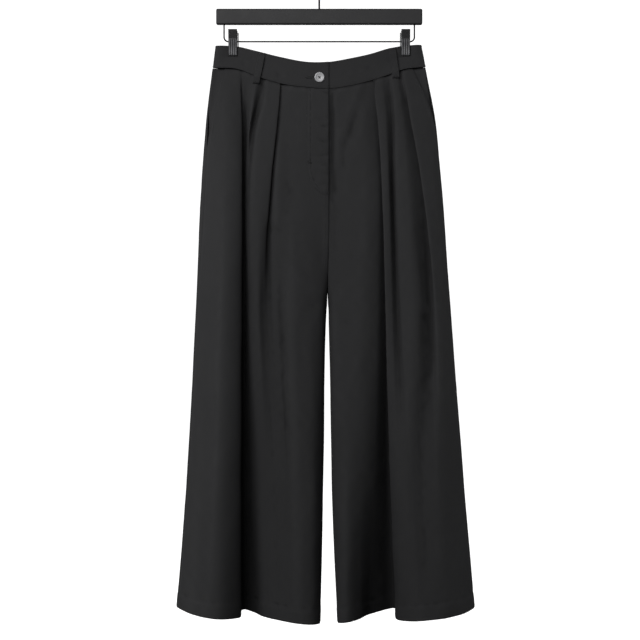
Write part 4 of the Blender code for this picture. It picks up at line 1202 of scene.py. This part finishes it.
def stitch_fly(settings, cloth):
    lines = [fly_line(FLY_STITCH_IN, FLY_TOP - 2, cloth, 1.05), fly_line(-0.9, FLY_TOP - 2, cloth, 0.14)]
    stitch("fly_stitches", lines, settings, seed=5)
    bars = []
    for across, height, dx, dz in FLY_BARTACKS:
        for step in np.linspace(-1, 1, 9):
            ends = np.array([across + dx * step - dz * 0.2, across + dx * step + dz * 0.2])
            heights = np.array([height + dz * step - dx * 0.35, height + dz * step + dx * 0.35])
            line = [front_left_surface(np.array([[x]]), np.array([z]), cloth) for x, z in zip(ends, heights)]
            bars.append([(points + normals * 1.5)[0, 0] for points, normals in line])
    stitch("fly_bartacks", bars, settings, pitch=0.0018, length=0.0021, seed=6)


def stitch_pockets(settings):
    lines = []
    for left in (True, False):
        rows = np.linspace(0.004, (LEFT_POCKET if left else RIGHT_POCKET).last_stitch, 60)
        side = side_key(left)
        edge = side - np.maximum(pocket_cut(left, rows), seam_share(left, rows))
        for inward in POCKET_STITCHES_IN:
            step = np.linalg.norm(leg_points(left, edge - 0.1, rows) - leg_points(left, edge, rows), axis=-1)
            places = (edge - 0.1 * inward / step)[:, None]
            grid = leg_points(left, places, rows[:, None])
            normals = leg_normals(left, places, rows[:, None])
            lines.append((grid + normals * 0.1)[:, 0])
    stitch("pocket_stitches", lines, settings, seed=8)


def stitch_loops(settings):
    lines = []
    bars = []
    for loop in LOOPS:
        grid, toward = loop_surface(loop, [-LOOP_STITCH, LOOP_STITCH], np.linspace(0.03, 0.97, 40))
        for column in grid:
            lines.append(column + (0, toward * 0.1, 0))
        for share in (0.045, 0.955):
            for step in np.linspace(-1.1, 1.1, 7):
                columns = np.linspace(-0.8, 0.8, 12)
                grid, toward = loop_surface(loop, columns, [share + step / 52])
                bars.append(grid[:, 0] + (0, toward * 0.22, 0))
    stitch("loop_stitches", lines, settings, seed=11)
    stitch("loop_bartacks", bars, settings, pitch=0.0012, length=0.0014, slant=1.45, seed=12)


def stitch_buttonhole(settings):
    """The worked hole that the button pulls through, beside the button."""
    bars = []
    slit = np.linspace(BUTTONHOLE_START, BUTTONHOLE_END, 34)
    row = (waist_height("top", slit) - BUTTON_HEIGHT) / (
        waist_height("top", slit) - waist_height("seam", slit))
    for across, share in zip(slit, row):
        forward = band_forward(across, float(share), False)
        for side in (-1, 1):
            near = BUTTON_HEIGHT + side * 0.35
            far = BUTTON_HEIGHT + side * 1.9
            bars.append([(across, -forward - 0.18, near), (across, -forward - 0.18, far)])
    for turn in np.linspace(0.5 * math.pi, 1.5 * math.pi, 13):
        forward = band_forward(BUTTONHOLE_START, 0.5, False)
        bars.append([(BUTTONHOLE_START + reach * math.cos(turn), -forward - 0.18,
                      BUTTON_HEIGHT + reach * math.sin(turn)) for reach in (0.5, 2.0)])
    stitch("buttonhole_stitches", bars, settings, pitch=0.0009, length=0.0012, slant=0.0, seed=14)


def stitch_front_seam(settings, cloth):
    """A double row down the top of the front seam, from under the fly."""
    heights = np.linspace(FLY_END - 4, -560, 60)
    lines = []
    for gap in (1.4, 6.0):
        inner = inner_edge(True, False, heights)[:, 0] - gap
        points, normals = front_left_surface(inner[None], heights, cloth)
        lines.append((points + normals * 0.1)[0])
    stitch("front_seam_stitches", lines, settings, seed=16)


# ---------------------------------------------------------------- button

def button_face():
    row = (waist_height("top", BUTTON_ACROSS) - BUTTON_HEIGHT) / (
        waist_height("top", BUTTON_ACROSS) - waist_height("seam", BUTTON_ACROSS))
    return float(band_forward(BUTTON_ACROSS, float(row), False)) + FIT_GAP


def turned_solid(name, profile, sides, centre):
    """A solid turned about a line along Y, from (radius, depth towards the viewer) points."""
    turns = np.arange(sides) * 2 * math.pi / sides
    points = []
    for radius, depth in profile:
        for turn in turns:
            points.append((centre[0] + radius * math.cos(turn), centre[1] - depth,
                           centre[2] + radius * math.sin(turn)))
    faces = []
    for ring in range(len(profile) - 1):
        for side in range(sides):
            after = (side + 1) % sides
            low, high = ring * sides, (ring + 1) * sides
            faces.append((low + side, low + after, high + after, high + side))
    faces.append(tuple(reversed(range(sides))))
    last = (len(profile) - 1) * sides
    faces.append(tuple(range(last, last + sides)))
    return mesh_from(name, points, faces)


def make_button_piece(settings):
    """A dished button with a raised rim and four holes. Returns its centre, where the thread that crosses
    the holes is laid.
    """
    face = button_face()
    centre = (BUTTON_ACROSS, -face, BUTTON_HEIGHT)
    profile = [(BUTTON_RADIUS * share, depth) for share, depth in BUTTON_PROFILE]
    disc = turned_solid("button_disc", profile, 72, centre)
    for number in range(4):
        turn = math.radians(45 + 90 * number)
        across = BUTTON_ACROSS + BUTTON_HOLE_OUT * math.cos(turn)
        height = BUTTON_HEIGHT + BUTTON_HOLE_OUT * math.sin(turn)
        cutter = turned_solid("hole cutter %d" % number, [(BUTTON_HOLE, -1.0), (BUTTON_HOLE, 4.0)],
                              20, (across, -face, height))
        hole = disc.modifiers.new("hole %d" % number, "BOOLEAN")
        hole.operation = "DIFFERENCE"
        hole.solver = "EXACT"
        hole.object = cutter
    cutters = [modifier.object for modifier in disc.modifiers]
    piece = plain_piece(disc, "button_face")
    for cutter in cutters:
        bpy.data.objects.remove(cutter)
    piece.data.set_sharp_from_angle(angle=math.radians(40))
    finish_piece(piece, ["button"], horn_material(settings))
    return centre


def button_threads(settings, centre):
    """Runs of thread over the button's middle, three side by side along each of its two diagonals."""
    lines = []
    reach = BUTTON_HOLE_OUT * 0.72
    for number in range(2):
        turn = math.radians(45 + 90 * number)
        for aside in (-0.42, 0.0, 0.42):
            along = np.linspace(-1, 1, 15)
            out = 2.3 + 0.32 * number - 1.3 * np.abs(along) ** 5
            x = centre[0] + reach * along * math.cos(turn) - aside * math.sin(turn)
            z = centre[2] + reach * along * math.sin(turn) + aside * math.cos(turn)
            lines.append(np.stack([x, centre[1] - out, z], axis=-1))
    stitch("button_threads", lines, settings, pitch=0.0005, length=0.00075, slant=0.0, seed=18)


def horn_material(settings):
    """Light grey polyester with a faint cloud in it and a soft gloss that varies in streaks."""
    colour = tuple(settings.button)
    made, tree, shader = new_material("grey button", colour, 0.35)
    place = node(tree, "ShaderNodeTexCoord").outputs["Object"]
    cloud = noise(tree, place, 160.0, 4.0)
    streak = noise(tree, place, 900.0, 2.0)
    rough = math_node(tree, "ADD", weighted(tree, (streak, 0.25)), 0.22)
    fill(shader, Base_Color=toned(tree, cloud, colour, 0.78, 1.2), Roughness=rough,
         Coat_Weight=0.15, Coat_Roughness=0.2, Normal=bump(tree, streak, 0.00008, 0.3))
    return made


# ---------------------------------------------------------------- hanger

def painted_material(name, colour, gloss, wear):
    """Black paint or plating: fine orange peel, faint rubbed patches and dust."""
    known = bpy.data.materials.get(name)
    if known:
        return known
    made, tree, shader = new_material(name, colour, gloss)
    place = node(tree, "ShaderNodeTexCoord").outputs["Object"]
    peel = noise(tree, place, 1400.0, 2.0)
    rub = noise(tree, place, 24.0, 5.0, 0.7)
    dust = noise(tree, place, 420.0, 3.0)
    tone = weighted(tree, (rub, 0.6), (dust, 0.4))
    rough = math_node(tree, "ADD", weighted(tree, (rub, 0.22)), gloss - 0.1)
    fill(shader, Base_Color=toned(tree, tone, colour, 0.8, 1.2 + wear), Roughness=rough,
         Normal=bump(tree, peel, 0.00006, 0.35))
    return made


def paint_nodes(settings):
    """Gives the hanger's bar, hook and wire their finish."""
    bar = painted_material("satin bar paint", tuple(settings.bar), 0.5, 0.2)
    fill(bar.node_tree.nodes["Principled BSDF"], Specular_IOR_Level=0.22)
    wire = painted_material("black wire coating", tuple(settings.wire), 0.85, 0.3)
    fill(wire.node_tree.nodes["Principled BSDF"], Specular_IOR_Level=0.03)
    for name, surface in (("hanger_bar", bar), ("hanger_hook", wire), ("hanger_wire", wire)):
        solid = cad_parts[name]
        for place in solid.material_slots:
            place.material = surface


def jaw_inside(height):
    return smooth([-step.height for step in JAW], [step.inside for step in JAW], -np.asarray(height))


def jaw_plate(name, across, toward, settings):
    """One jaw: a pressed plate with four upright ribs below and a flat grip above."""
    tip, top = JAW[0].height, JAW[-1].height
    bends = ((tip, -153, 20), (-152, -140.7, 24), (-140.1, top, 22))
    heights = np.concatenate([np.linspace(*bend) for bend in bends])
    offsets = np.linspace(-1, 1, 65)
    pitch = 2 / RIB_COUNT
    wave = np.abs(np.sin(math.pi * (offsets + 1) / pitch)) ** 1.4
    ribbed = soft_step(heights - RIB_TOP, 0.5)
    ribbed *= soft_step(tip + 0.8 - heights, 0.35)
    edge = 0.5 * np.abs(offsets) ** 14
    inside = jaw_inside(heights)
    rise = RIB_RISE * wave[:, None] * ribbed[None, :]
    ends = 0.45 * (bell(heights - tip, 0.7) + bell(heights - top, 0.7))
    lip = 0.3 * bell(heights - RIB_TOP - 0.6, 0.7)
    outer = np.empty((65, len(heights), 3))
    outer[:, :, 0] = across + offsets[:, None] * CLIP_WIDTH / 2
    outer[:, :, 1] = toward * (inside + JAW_PLATE + rise - edge[:, None] - ends + lip)
    outer[:, :, 2] = heights
    inner = outer.copy()
    inner[:, :, 1] = toward * np.broadcast_to(inside, (65, len(heights)))
    made = cloth_shell(name + "_plate", outer, inner, pinch=0.12)
    spots = np.empty(len(made.data.vertices) * 3)
    made.data.vertices.foreach_get("co", spots)
    spots = spots.reshape(-1, 3) / MM
    # How far each point stands proud of the plate, kept as the mask of the painted highlight on the ribs'
    # crests
    proud = toward * spots[:, 1] - jaw_inside(spots[:, 2]) - JAW_PLATE
    rib_highlight_layer = made.data.attributes.new("painted_rib_highlight", "FLOAT", "POINT")
    rib_highlight_layer.data.foreach_set("value", np.clip(proud / RIB_RISE, 0, 1) ** 2)
    finish_piece(made, [name], clip_material(settings))
    return made


def clip_material(settings):
    """Blackened steel, dark in its grooves, with a painted highlight that lightens the crests of its ribs.
    """
    name = "blackened clip steel"
    known = bpy.data.materials.get(name)
    if known:
        return known
    made = painted_material(name, tuple(settings.clip), 0.45, 0.4)
    tree = made.node_tree
    shader = tree.nodes["Principled BSDF"]
    painted = shader.inputs["Base Color"].links[0].from_socket
    # Painted highlight: the colour is lightened on the crests of the ribs, by the mask from the jaw plate
    painted_rib_highlight = node(tree, "ShaderNodeAttribute", attribute_name="painted_rib_highlight").outputs["Fac"]
    painted_crest_highlight = math_node(tree, "ADD", weighted(tree, (painted_rib_highlight, settings.rub)), 1.0)
    fill(shader, Base_Color=scaled(tree, painted, painted_crest_highlight), Specular_IOR_Level=0.3)
    return made


def grip_tree():
    """Geometry Nodes that set rows of small studs on a grip's grid of points."""
    known = bpy.data.node_groups.get("grip studs")
    if known:
        return known
    tree, given = start_tree("grip studs", ("Stud Radius", "Float"), ("Seed", "Int"),
                             ("Steel", "Material"))
    stud = fill(node(tree, "GeometryNodeMeshUVSphere"), Segments=10, Rings=6,
                Radius=given.outputs["Stud Radius"])
    chance = node(tree, "FunctionNodeRandomValue", data_type="FLOAT")
    for socket in chance.inputs:
        if socket.name == "Seed":
            tree.links.new(given.outputs["Seed"], socket)
        elif socket.type == "VALUE":
            socket.default_value = 0.92 if socket.name == "Min" else 1.05
    copies = fill(node(tree, "GeometryNodeInstanceOnPoints"), Points=given.outputs["Geometry"],
                  Instance=stud.outputs["Mesh"])
    for output in chance.outputs:
        if output.type == "VALUE":
            fill(copies, Scale=output)
    return end_tree(tree, copies, given.outputs["Steel"])


def grip_studs(name, across, toward, settings):
    """Rows of studs on the grip, every second row set half a step aside."""
    points = []
    for row, height in enumerate(np.linspace(GRIP_LOW, GRIP_TOP, STUD_ROWS)):
        shift = 0.5 if row % 2 else 0.0
        for column in range(STUD_ROWS - row % 2):
            aside = (column + shift - 3) * CLIP_WIDTH / 7.6
            out = float(jaw_inside(height)) + JAW_PLATE
            points.append((across + aside, toward * (out - 0.12), height))
    guide = mesh_from(name + " guide", points, [])
    values = {"Stud Radius": 0.0008, "Seed": 4, "Steel": clip_material(settings)}
    made = run_nodes(guide, grip_tree(), values, name + "_studs")


def make_ear(name, across, settings):
    """The folded ear beside a clip, toward the middle, that holds its spring on the wire."""
    toward_middle = -1 if across > 0 else 1
    near = across + toward_middle * CLIP_WIDTH / 2
    heights = np.linspace(EAR_LOW, EAR_TOP, 30)
    share = (heights - EAR_TOP) / (EAR_LOW - EAR_TOP)
    half = 1.6 + 3.0 * np.sin(math.pi * np.clip(share, 0, 1)) ** 0.6
    turns = np.linspace(-1, 1, 15)
    outer = np.empty((15, 30, 3))
    for column, turn in enumerate(turns):
        outer[column, :, 0] = near + toward_middle * (2.6 - 1.1 * turn * turn)
        outer[column, :, 1] = turn * half
        outer[column, :, 2] = heights
    inner = outer.copy()
    inner[:, :, 0] -= toward_middle * 0.9
    made = cloth_shell(name, outer, inner, pinch=0.2)
    finish_piece(made, [], clip_material(settings))


def make_coil(name, across, settings):
    """The coil spring round the hanger's wire, wound from one thin wire."""
    steps = np.linspace(0, 1, COIL_TURNS * 18 + 1)
    angle = 2 * math.pi * COIL_TURNS * steps
    path = np.stack([across + (steps - 0.5) * COIL_LENGTH, COIL_RADIUS * np.cos(angle),
                     RAIL_HEIGHT + COIL_RADIUS * np.sin(angle)], axis=-1)
    guide = guide_curve(name + " guide", [path])
    guide.data.bevel_depth = COIL_WIRE * MM
    guide.data.bevel_resolution = 1
    guide.data.use_fill_caps = True
    finish_piece(plain_piece(guide, name + "_coil"), [name], clip_material(settings))


def make_clips(settings):
    for side, across in (("left", -CLIP_ACROSS), ("right", CLIP_ACROSS)):
        for end, toward in (("front", -1), ("rear", 1)):
            name = "clip_%s_%s_jaw" % (side, end)
            jaw_plate(name, across, toward, settings)
            grip_studs(name, across, toward, settings)
        make_coil("clip_%s_spring" % side, across, settings)
        make_ear("clip_%s_ear" % side, across, settings)


# ---------------------------------------------------------------- materials

def new_material(name, colour, roughness):
    made = bpy.data.materials.new(name)
    made.use_nodes = True
    made.diffuse_color = tuple(colour) + (1,)
    shader = made.node_tree.nodes["Principled BSDF"]
    fill(shader, Base_Color=tuple(colour) + (1,), Roughness=roughness)
    return made, made.node_tree, shader


def node(tree, kind, **settings):
    made = tree.nodes.new(kind)
    for name, value in settings.items():
        setattr(made, name, value)
    return made


def fill(made, **values):
    """Sets or links a node's inputs by name, with underscores for spaces."""
    for name, value in values.items():
        socket = made.inputs[name.replace("_", " ")]
        if isinstance(value, bpy.types.NodeSocket):
            made.id_data.links.new(value, socket)
        else:
            socket.default_value = value
    return made


def math_node(tree, operation, first, second=None):
    made = node(tree, "ShaderNodeMath", operation=operation)
    for number, value in enumerate((first, second)):
        if value is None:
            continue
        if isinstance(value, (int, float)):
            made.inputs[number].default_value = value
        else:
            tree.links.new(value, made.inputs[number])
    return made.outputs[0]


def noise(tree, vector, scale, detail=3.0, roughness=0.55):
    made = fill(node(tree, "ShaderNodeTexNoise"), Vector=vector, Scale=scale, Detail=detail,
                Roughness=roughness)
    return made.outputs["Fac"]


def toned(tree, amount, colour, dark, light):
    """A colour that runs, by an amount, from its dark share to its light share."""
    ends = [[min(1.0, part * share) for part in colour] + [1] for share in (dark, light)]
    made = fill(node(tree, "ShaderNodeMix", data_type="RGBA"), Factor=amount, A=ends[0], B=ends[1])
    return made.outputs["Result"]


def weighted(tree, *terms):
    """The sum of some sockets, each times its weight."""
    total = None
    for socket, weight in terms:
        part = math_node(tree, "MULTIPLY", socket, weight)
        total = part if total is None else math_node(tree, "ADD", total, part)
    return total


def scaled(tree, colour, share):
    """A colour times a share."""
    made = node(tree, "ShaderNodeVectorMath", operation="SCALE")
    tree.links.new(colour, made.inputs[0])
    tree.links.new(share, made.inputs["Scale"])
    return made.outputs[0]


def bump(tree, height, distance, strength, before=None):
    made = fill(node(tree, "ShaderNodeBump"), Height=height, Strength=strength, Distance=distance)
    if before is not None:
        fill(made, Normal=before)
    return made.outputs["Normal"]


def painted_hollow_shade(tree, strength):
    """Share of the colour that shows: painted shade that darkens it in hollows, and a painted highlight that
    lightens it a little on crests.
    """
    hollow = node(tree, "ShaderNodeAttribute", attribute_name="hollow").outputs["Fac"]
    sunk = math_node(tree, "MAXIMUM", hollow, 0.0)
    painted_crest_highlight = math_node(tree, "MINIMUM", hollow, 0.0)
    return math_node(tree, "ADD", weighted(tree, (sunk, -strength), (painted_crest_highlight, -strength * 0.35)), 1.0)


def twill_material(settings):
    """Charcoal cotton twill: diagonal ribs of yarns in the cloth's own map, slubs and a soft nap, with
    painted shade in hollows and seams and a faint painted highlight on crests.
    """
    known = bpy.data.materials.get("charcoal twill")
    if known:
        return known
    colour = tuple(settings.colour)
    made, tree, shader = new_material("charcoal twill", colour, 0.9)
    chart = node(tree, "ShaderNodeUVMap", uv_map="cloth").outputs["UV"]
    turn = settings.twill_angle
    step = 2 * math.pi / settings.twill_pitch
    parts = node(tree, "ShaderNodeSeparateXYZ")
    tree.links.new(chart, parts.inputs[0])
    phase = weighted(tree, (parts.outputs["X"], math.sin(turn) * step),
                     (parts.outputs["Y"], -math.cos(turn) * step))
    wobble = math_node(tree, "MULTIPLY", noise(tree, chart, 260.0, 1.0), 1.6)
    rib = math_node(tree, "SINE", math_node(tree, "ADD", phase, wobble))
    yarn = math_node(tree, "SINE", math_node(tree, "MULTIPLY", parts.outputs["Y"], step * 1.35))
    weave = math_node(tree, "ADD", weighted(tree, (rib, 0.36), (yarn, 0.14)), 0.5)
    slub = noise(tree, chart, 900.0, 2.0)
    place = node(tree, "ShaderNodeTexCoord").outputs["Object"]
    cloud = noise(tree, place, 7.0, 3.0)
    nap = noise(tree, place, 60.0, 4.0, 0.65)
    tone = weighted(tree, (weave, 0.42), (slub, 0.2), (cloud, 0.24), (nap, 0.14))
    # Painted shade: the colour is darkened in hollows and seams and a little lightened on crests, from the
    # hollow attribute
    shade = painted_hollow_shade(tree, settings.painted_hollow_shade)
    rough = math_node(tree, "ADD", weighted(tree, (nap, 0.16)), 0.82)
    soft = bump(tree, nap, 0.0011, 0.35)
    coarse = bump(tree, slub, 0.00025, 0.5, soft)
    fill(shader, Base_Color=scaled(tree, toned(tree, tone, colour, 0.62, 1.38), shade),
         Roughness=rough, Sheen_Weight=settings.sheen, Sheen_Roughness=0.55,
         Sheen_Tint=(0.75, 0.75, 0.78, 1), Specular_IOR_Level=0.06,
         Normal=bump(tree, weave, 0.00022, 0.8, coarse))
    return made


# ---------------------------------------------------------------- settings

class TrousersCloth(bpy.types.PropertyGroup):
    """The twill: its wall, colour, weave and unevenness"""
    wall: bpy.props.FloatProperty(
        name="Wall", description="Thickness of one layer of cloth", default=0.0008, unit="LENGTH")
    colour: bpy.props.FloatVectorProperty(
        name="Colour", description="Mean colour of the twill", subtype="COLOR",
        default=(0.030, 0.030, 0.031))
    twill_pitch: bpy.props.FloatProperty(
        name="Twill pitch", description="Distance between two ribs of the twill",
        default=0.00095, unit="LENGTH", precision=5)
    twill_angle: bpy.props.FloatProperty(
        name="Twill angle", description="Angle of the ribs from level",
        default=math.radians(58), unit="ROTATION")
    sheen: bpy.props.FloatProperty(
        name="Sheen", description="Strength of the nap's sheen", default=0.008, subtype="FACTOR")
    crease_depth: bpy.props.FloatProperty(
        name="Crease depth", description="Share of the tabled depth of the creases made by hand",
        default=1.0, subtype="FACTOR")
    unevenness: bpy.props.FloatProperty(
        name="Unevenness", description="Size of the low waves in the hanging cloth",
        default=1.6)
    mottling: bpy.props.FloatProperty(
        name="Mottling", description="Size of the short undulations in the cloth", default=1.7)
    # Strength of the painted shade in hollows and seams, and of the fainter painted highlight on crests
    painted_hollow_shade: bpy.props.FloatProperty(
        name="Hollow shade", description="How much darker the nap is in hollows and seams",
        default=0.35, subtype="FACTOR")


class TrousersThread(bpy.types.PropertyGroup):
    """The sewing thread and the button"""
    pitch: bpy.props.FloatProperty(
        name="Pitch", description="From one topstitch to the next", default=0.0031,
        unit="LENGTH", precision=5)
    length: bpy.props.FloatProperty(
        name="Stitch length", description="Length of one topstitch", default=0.0025,
        unit="LENGTH", precision=5)
    thread: bpy.props.FloatProperty(
        name="Thread", description="Radius of the sewing thread", default=0.00032,
        unit="LENGTH", precision=5)
    colour: bpy.props.FloatVectorProperty(
        name="Colour", description="Colour of the thread", subtype="COLOR",
        default=(0.021, 0.021, 0.022))
    button: bpy.props.FloatVectorProperty(
        name="Button", description="Colour of the button", subtype="COLOR",
        default=(0.34, 0.34, 0.35))


class TrousersHanger(bpy.types.PropertyGroup):
    """The finishes of the hanger and its clips"""
    bar: bpy.props.FloatVectorProperty(
        name="Bar", description="Colour of the bar's paint", subtype="COLOR",
        default=(0.017, 0.017, 0.018))
    wire: bpy.props.FloatVectorProperty(
        name="Wire", description="Colour of the hook and the wire", subtype="COLOR",
        default=(0.004, 0.004, 0.0045))
    clip: bpy.props.FloatVectorProperty(
        name="Clips", description="Colour of the clips", subtype="COLOR",
        default=(0.016, 0.016, 0.017))
    # Strength of the painted highlight on the crests of the clips' ribs
    rub: bpy.props.FloatProperty(
        name="Rub", description="How much brighter the crests of the clips are rubbed", default=5.0)


class TrousersStage(bpy.types.PropertyGroup):
    """The camera, the lights and the paper"""
    distance: bpy.props.FloatProperty(
        name="Camera distance", description="From the plane of the hanger to the camera",
        default=3.2, unit="LENGTH")
    aside: bpy.props.FloatProperty(
        name="Camera aside", description="How far the camera stands to the right of the hook",
        default=0.0014, unit="LENGTH", precision=5)
    height: bpy.props.FloatProperty(
        name="Camera height", description="Height of the camera above the hook's inside top",
        default=-0.6609, unit="LENGTH")
    lens: bpy.props.FloatProperty(
        name="Lens", description="Focal length on a sensor 36 mm wide, in millimetres", default=97.1)
    floor: bpy.props.FloatProperty(
        name="Floor height", description="Height of the floor below the hook's inside top",
        default=-1.72, unit="LENGTH")
    paper: bpy.props.FloatVectorProperty(
        name="Paper", description="Colour of the floor and the backdrop", subtype="COLOR",
        default=(0.92, 0.92, 0.92))
    key_power: bpy.props.FloatProperty(
        name="Key light", description="Power of the large light at the front left",
        default=74, unit="POWER")
    fill_power: bpy.props.FloatProperty(
        name="Fill light", description="Power of the light at the front right",
        default=1.5, unit="POWER")
    rear_power: bpy.props.FloatProperty(
        name="Rear light", description="Power of the light behind, which shows the back",
        default=40, unit="POWER")
    backdrop_power: bpy.props.FloatProperty(
        name="Backdrop lights", description="Power of each of the two lights on the backdrop",
        default=62, unit="POWER")
    ambient: bpy.props.FloatProperty(
        name="Ambient", description="Strength of the even light from all round", default=0.06)


# ---------------------------------------------------------------- stage

# The paper sweep in metres: half its width, its plane behind, its top and the radius of its bend
SWEEP_HALF = 6.0
SWEEP_BACK = 3.2
SWEEP_TOP = 3.4
SWEEP_BEND = 1.0


def area_light(name, place, target, size, power):
    data = bpy.data.lights.new(name, "AREA")
    data.shape = "RECTANGLE"
    data.size, data.size_y = size
    data.energy = power
    made = linked(name, data)
    made.location = place
    made.rotation_euler = aim(place, target)
    return made


def aim(place, target):
    return (Vector(target) - Vector(place)).to_track_quat("-Z", "Y").to_euler()


def make_stage(settings):
    """Camera at the photo's angle, soft lights, and the pale sweep behind."""
    scene = bpy.context.scene
    scene.view_settings.view_transform = "Standard"
    data = bpy.data.cameras.new("camera")
    data.lens = settings.lens
    data.sensor_width = 36
    camera = linked("camera", data)
    camera.location = (settings.aside, -settings.distance, settings.height)
    camera.rotation_euler = (math.pi / 2, 0, 0)
    scene.camera = camera
    world = scene.world or bpy.data.worlds.new("world")
    scene.world = world
    world.use_nodes = True
    fill(world.node_tree.nodes["Background"], Color=(1, 1, 1, 1), Strength=settings.ambient)
    middle = (0, 0, -0.7)
    area_light("key light", (-1.05, -2.35, 0.6), (0, 0, -0.5), (2.3, 1.3), settings.key_power)
    area_light("fill light", (2.6, -2.6, -0.3), middle, (1.5, 1.8), settings.fill_power)
    rear = area_light("rear light", (-0.5, 2.6, 0.2), middle, (1.8, 1.4), settings.rear_power)
    rear.visible_camera = False
    for side in (-1, 1):
        area_light("backdrop light %d" % side, (side * 2.6, 0.6, 0.4), (side * 0.3, SWEEP_BACK, -0.7),
                   (1.2, 2.4), settings.backdrop_power)
    make_paper(settings)


def make_paper(settings):
    """The pale sweep: a floor that bends up into a backdrop. The stage's lengths are in metres."""
    profile = [(-SWEEP_HALF, settings.floor)]
    for turn in np.linspace(0, math.pi / 2, 13):
        profile.append((SWEEP_BACK - SWEEP_BEND + SWEEP_BEND * math.sin(turn),
                        settings.floor + SWEEP_BEND - SWEEP_BEND * math.cos(turn)))
    profile.append((SWEEP_BACK, SWEEP_TOP))
    count = len(profile)
    points = [(across / MM, y / MM, z / MM) for across in (-SWEEP_HALF, SWEEP_HALF) for y, z in profile]
    faces = [(k, k + 1, count + k + 1, count + k) for k in range(count - 1)]
    paper = mesh_from("paper_sweep", points, faces)
    made, tree, shader = new_material("pale paper", settings.paper, 0.95)
    place = node(tree, "ShaderNodeTexCoord").outputs["Object"]
    grain = noise(tree, place, 90.0, 4.0)
    fill(shader, Base_Color=toned(tree, grain, tuple(settings.paper), 0.985, 1.0),
         Emission_Color=(1, 1, 1, 1), Emission_Strength=0.35)
    paper.data.materials.append(made)
    paper.visible_diffuse = False
    paper.visible_glossy = False


class TROUSERS_OT_stage(bpy.types.Operator):
    """Place the camera, the lights and the pale sweep"""
    bl_idname = "trousers.stage"
    bl_label = "Stage"

    def execute(self, context):
        make_stage(context.scene.trousers_stage)
        return {"FINISHED"}


class TROUSERS_OT_panels(bpy.types.Operator):
    """Make the four leg panels with their pleats, folds and creases"""
    bl_idname = "trousers.panels"
    bl_label = "Leg panels"

    def execute(self, context):
        for name in CREASES:
            make_panel(name, context.scene.trousers_cloth)
        return {"FINISHED"}


class TROUSERS_OT_waistband(bpy.types.Operator):
    """Make the waistband's three pieces, the fly, the pocket sides and the belt loops"""
    bl_idname = "trousers.waistband"
    bl_label = "Waistband, fly, pockets and loops"

    def execute(self, context):
        cloth = context.scene.trousers_cloth
        for piece in band_pieces():
            make_band_cloth(piece, cloth)
        make_fly_cloth(cloth)
        for left in (True, False):
            make_pocket_cloth(left, cloth)
        for loop in LOOPS:
            make_loop_cloth(loop, cloth)
        return {"FINISHED"}


class TROUSERS_OT_stitching(bpy.types.Operator):
    """Sew the topstitching, the bartacks and the buttonhole"""
    bl_idname = "trousers.stitching"
    bl_label = "Stitching"

    def execute(self, context):
        cloth = context.scene.trousers_cloth
        thread = context.scene.trousers_thread
        stitch_waistband(thread)
        stitch_fly(thread, cloth)
        stitch_pockets(thread)
        stitch_loops(thread)
        stitch_buttonhole(thread)
        stitch_front_seam(thread, cloth)
        return {"FINISHED"}


class TROUSERS_OT_button(bpy.types.Operator):
    """Make the button and the thread that holds it"""
    bl_idname = "trousers.button"
    bl_label = "Button"

    def execute(self, context):
        settings = context.scene.trousers_thread
        button_threads(settings, make_button_piece(settings))
        return {"FINISHED"}


class TROUSERS_OT_hanger(bpy.types.Operator):
    """Paint the bar and the wires, and make the clips with their studs, ears and springs"""
    bl_idname = "trousers.hanger"
    bl_label = "Hanger"

    def execute(self, context):
        settings = context.scene.trousers_hanger
        paint_nodes(settings)
        make_clips(settings)
        return {"FINISHED"}


GROUPS = (
    ("trousers_cloth", TrousersCloth),
    ("trousers_thread", TrousersThread),
    ("trousers_hanger", TrousersHanger),
    ("trousers_stage", TrousersStage),
)
OPERATORS = (TROUSERS_OT_stage, TROUSERS_OT_panels, TROUSERS_OT_waistband,
             TROUSERS_OT_stitching, TROUSERS_OT_button, TROUSERS_OT_hanger)


class TROUSERS_PT_panel(bpy.types.Panel):
    """Sidebar panel with the sizes, the colours and one button for each group of pieces"""
    bl_label = "Trousers"
    bl_idname = "TROUSERS_PT_panel"
    bl_space_type = "VIEW_3D"
    bl_region_type = "UI"
    bl_category = "Trousers"

    def draw(self, context):
        for name, group in GROUPS:
            box = self.layout.box()
            for setting in group.__annotations__:
                box.prop(getattr(context.scene, name), setting)
        for operator in OPERATORS:
            self.layout.operator(operator.bl_idname)


def register():
    for _, group in GROUPS:
        bpy.utils.register_class(group)
    for operator in OPERATORS:
        bpy.utils.register_class(operator)
    bpy.utils.register_class(TROUSERS_PT_panel)
    for name, group in GROUPS:
        setattr(bpy.types.Scene, name, bpy.props.PointerProperty(type=group))


def unregister():
    for name, _ in GROUPS:
        delattr(bpy.types.Scene, name)
    bpy.utils.unregister_class(TROUSERS_PT_panel)
    for operator in reversed(OPERATORS):
        bpy.utils.unregister_class(operator)
    for _, group in reversed(GROUPS):
        bpy.utils.unregister_class(group)


def main():
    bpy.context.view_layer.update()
    register()
    for operator in OPERATORS:
        group, action = operator.bl_idname.split(".")
        getattr(getattr(bpy.ops, group), action)()


if __name__ == "__main__":
    main()
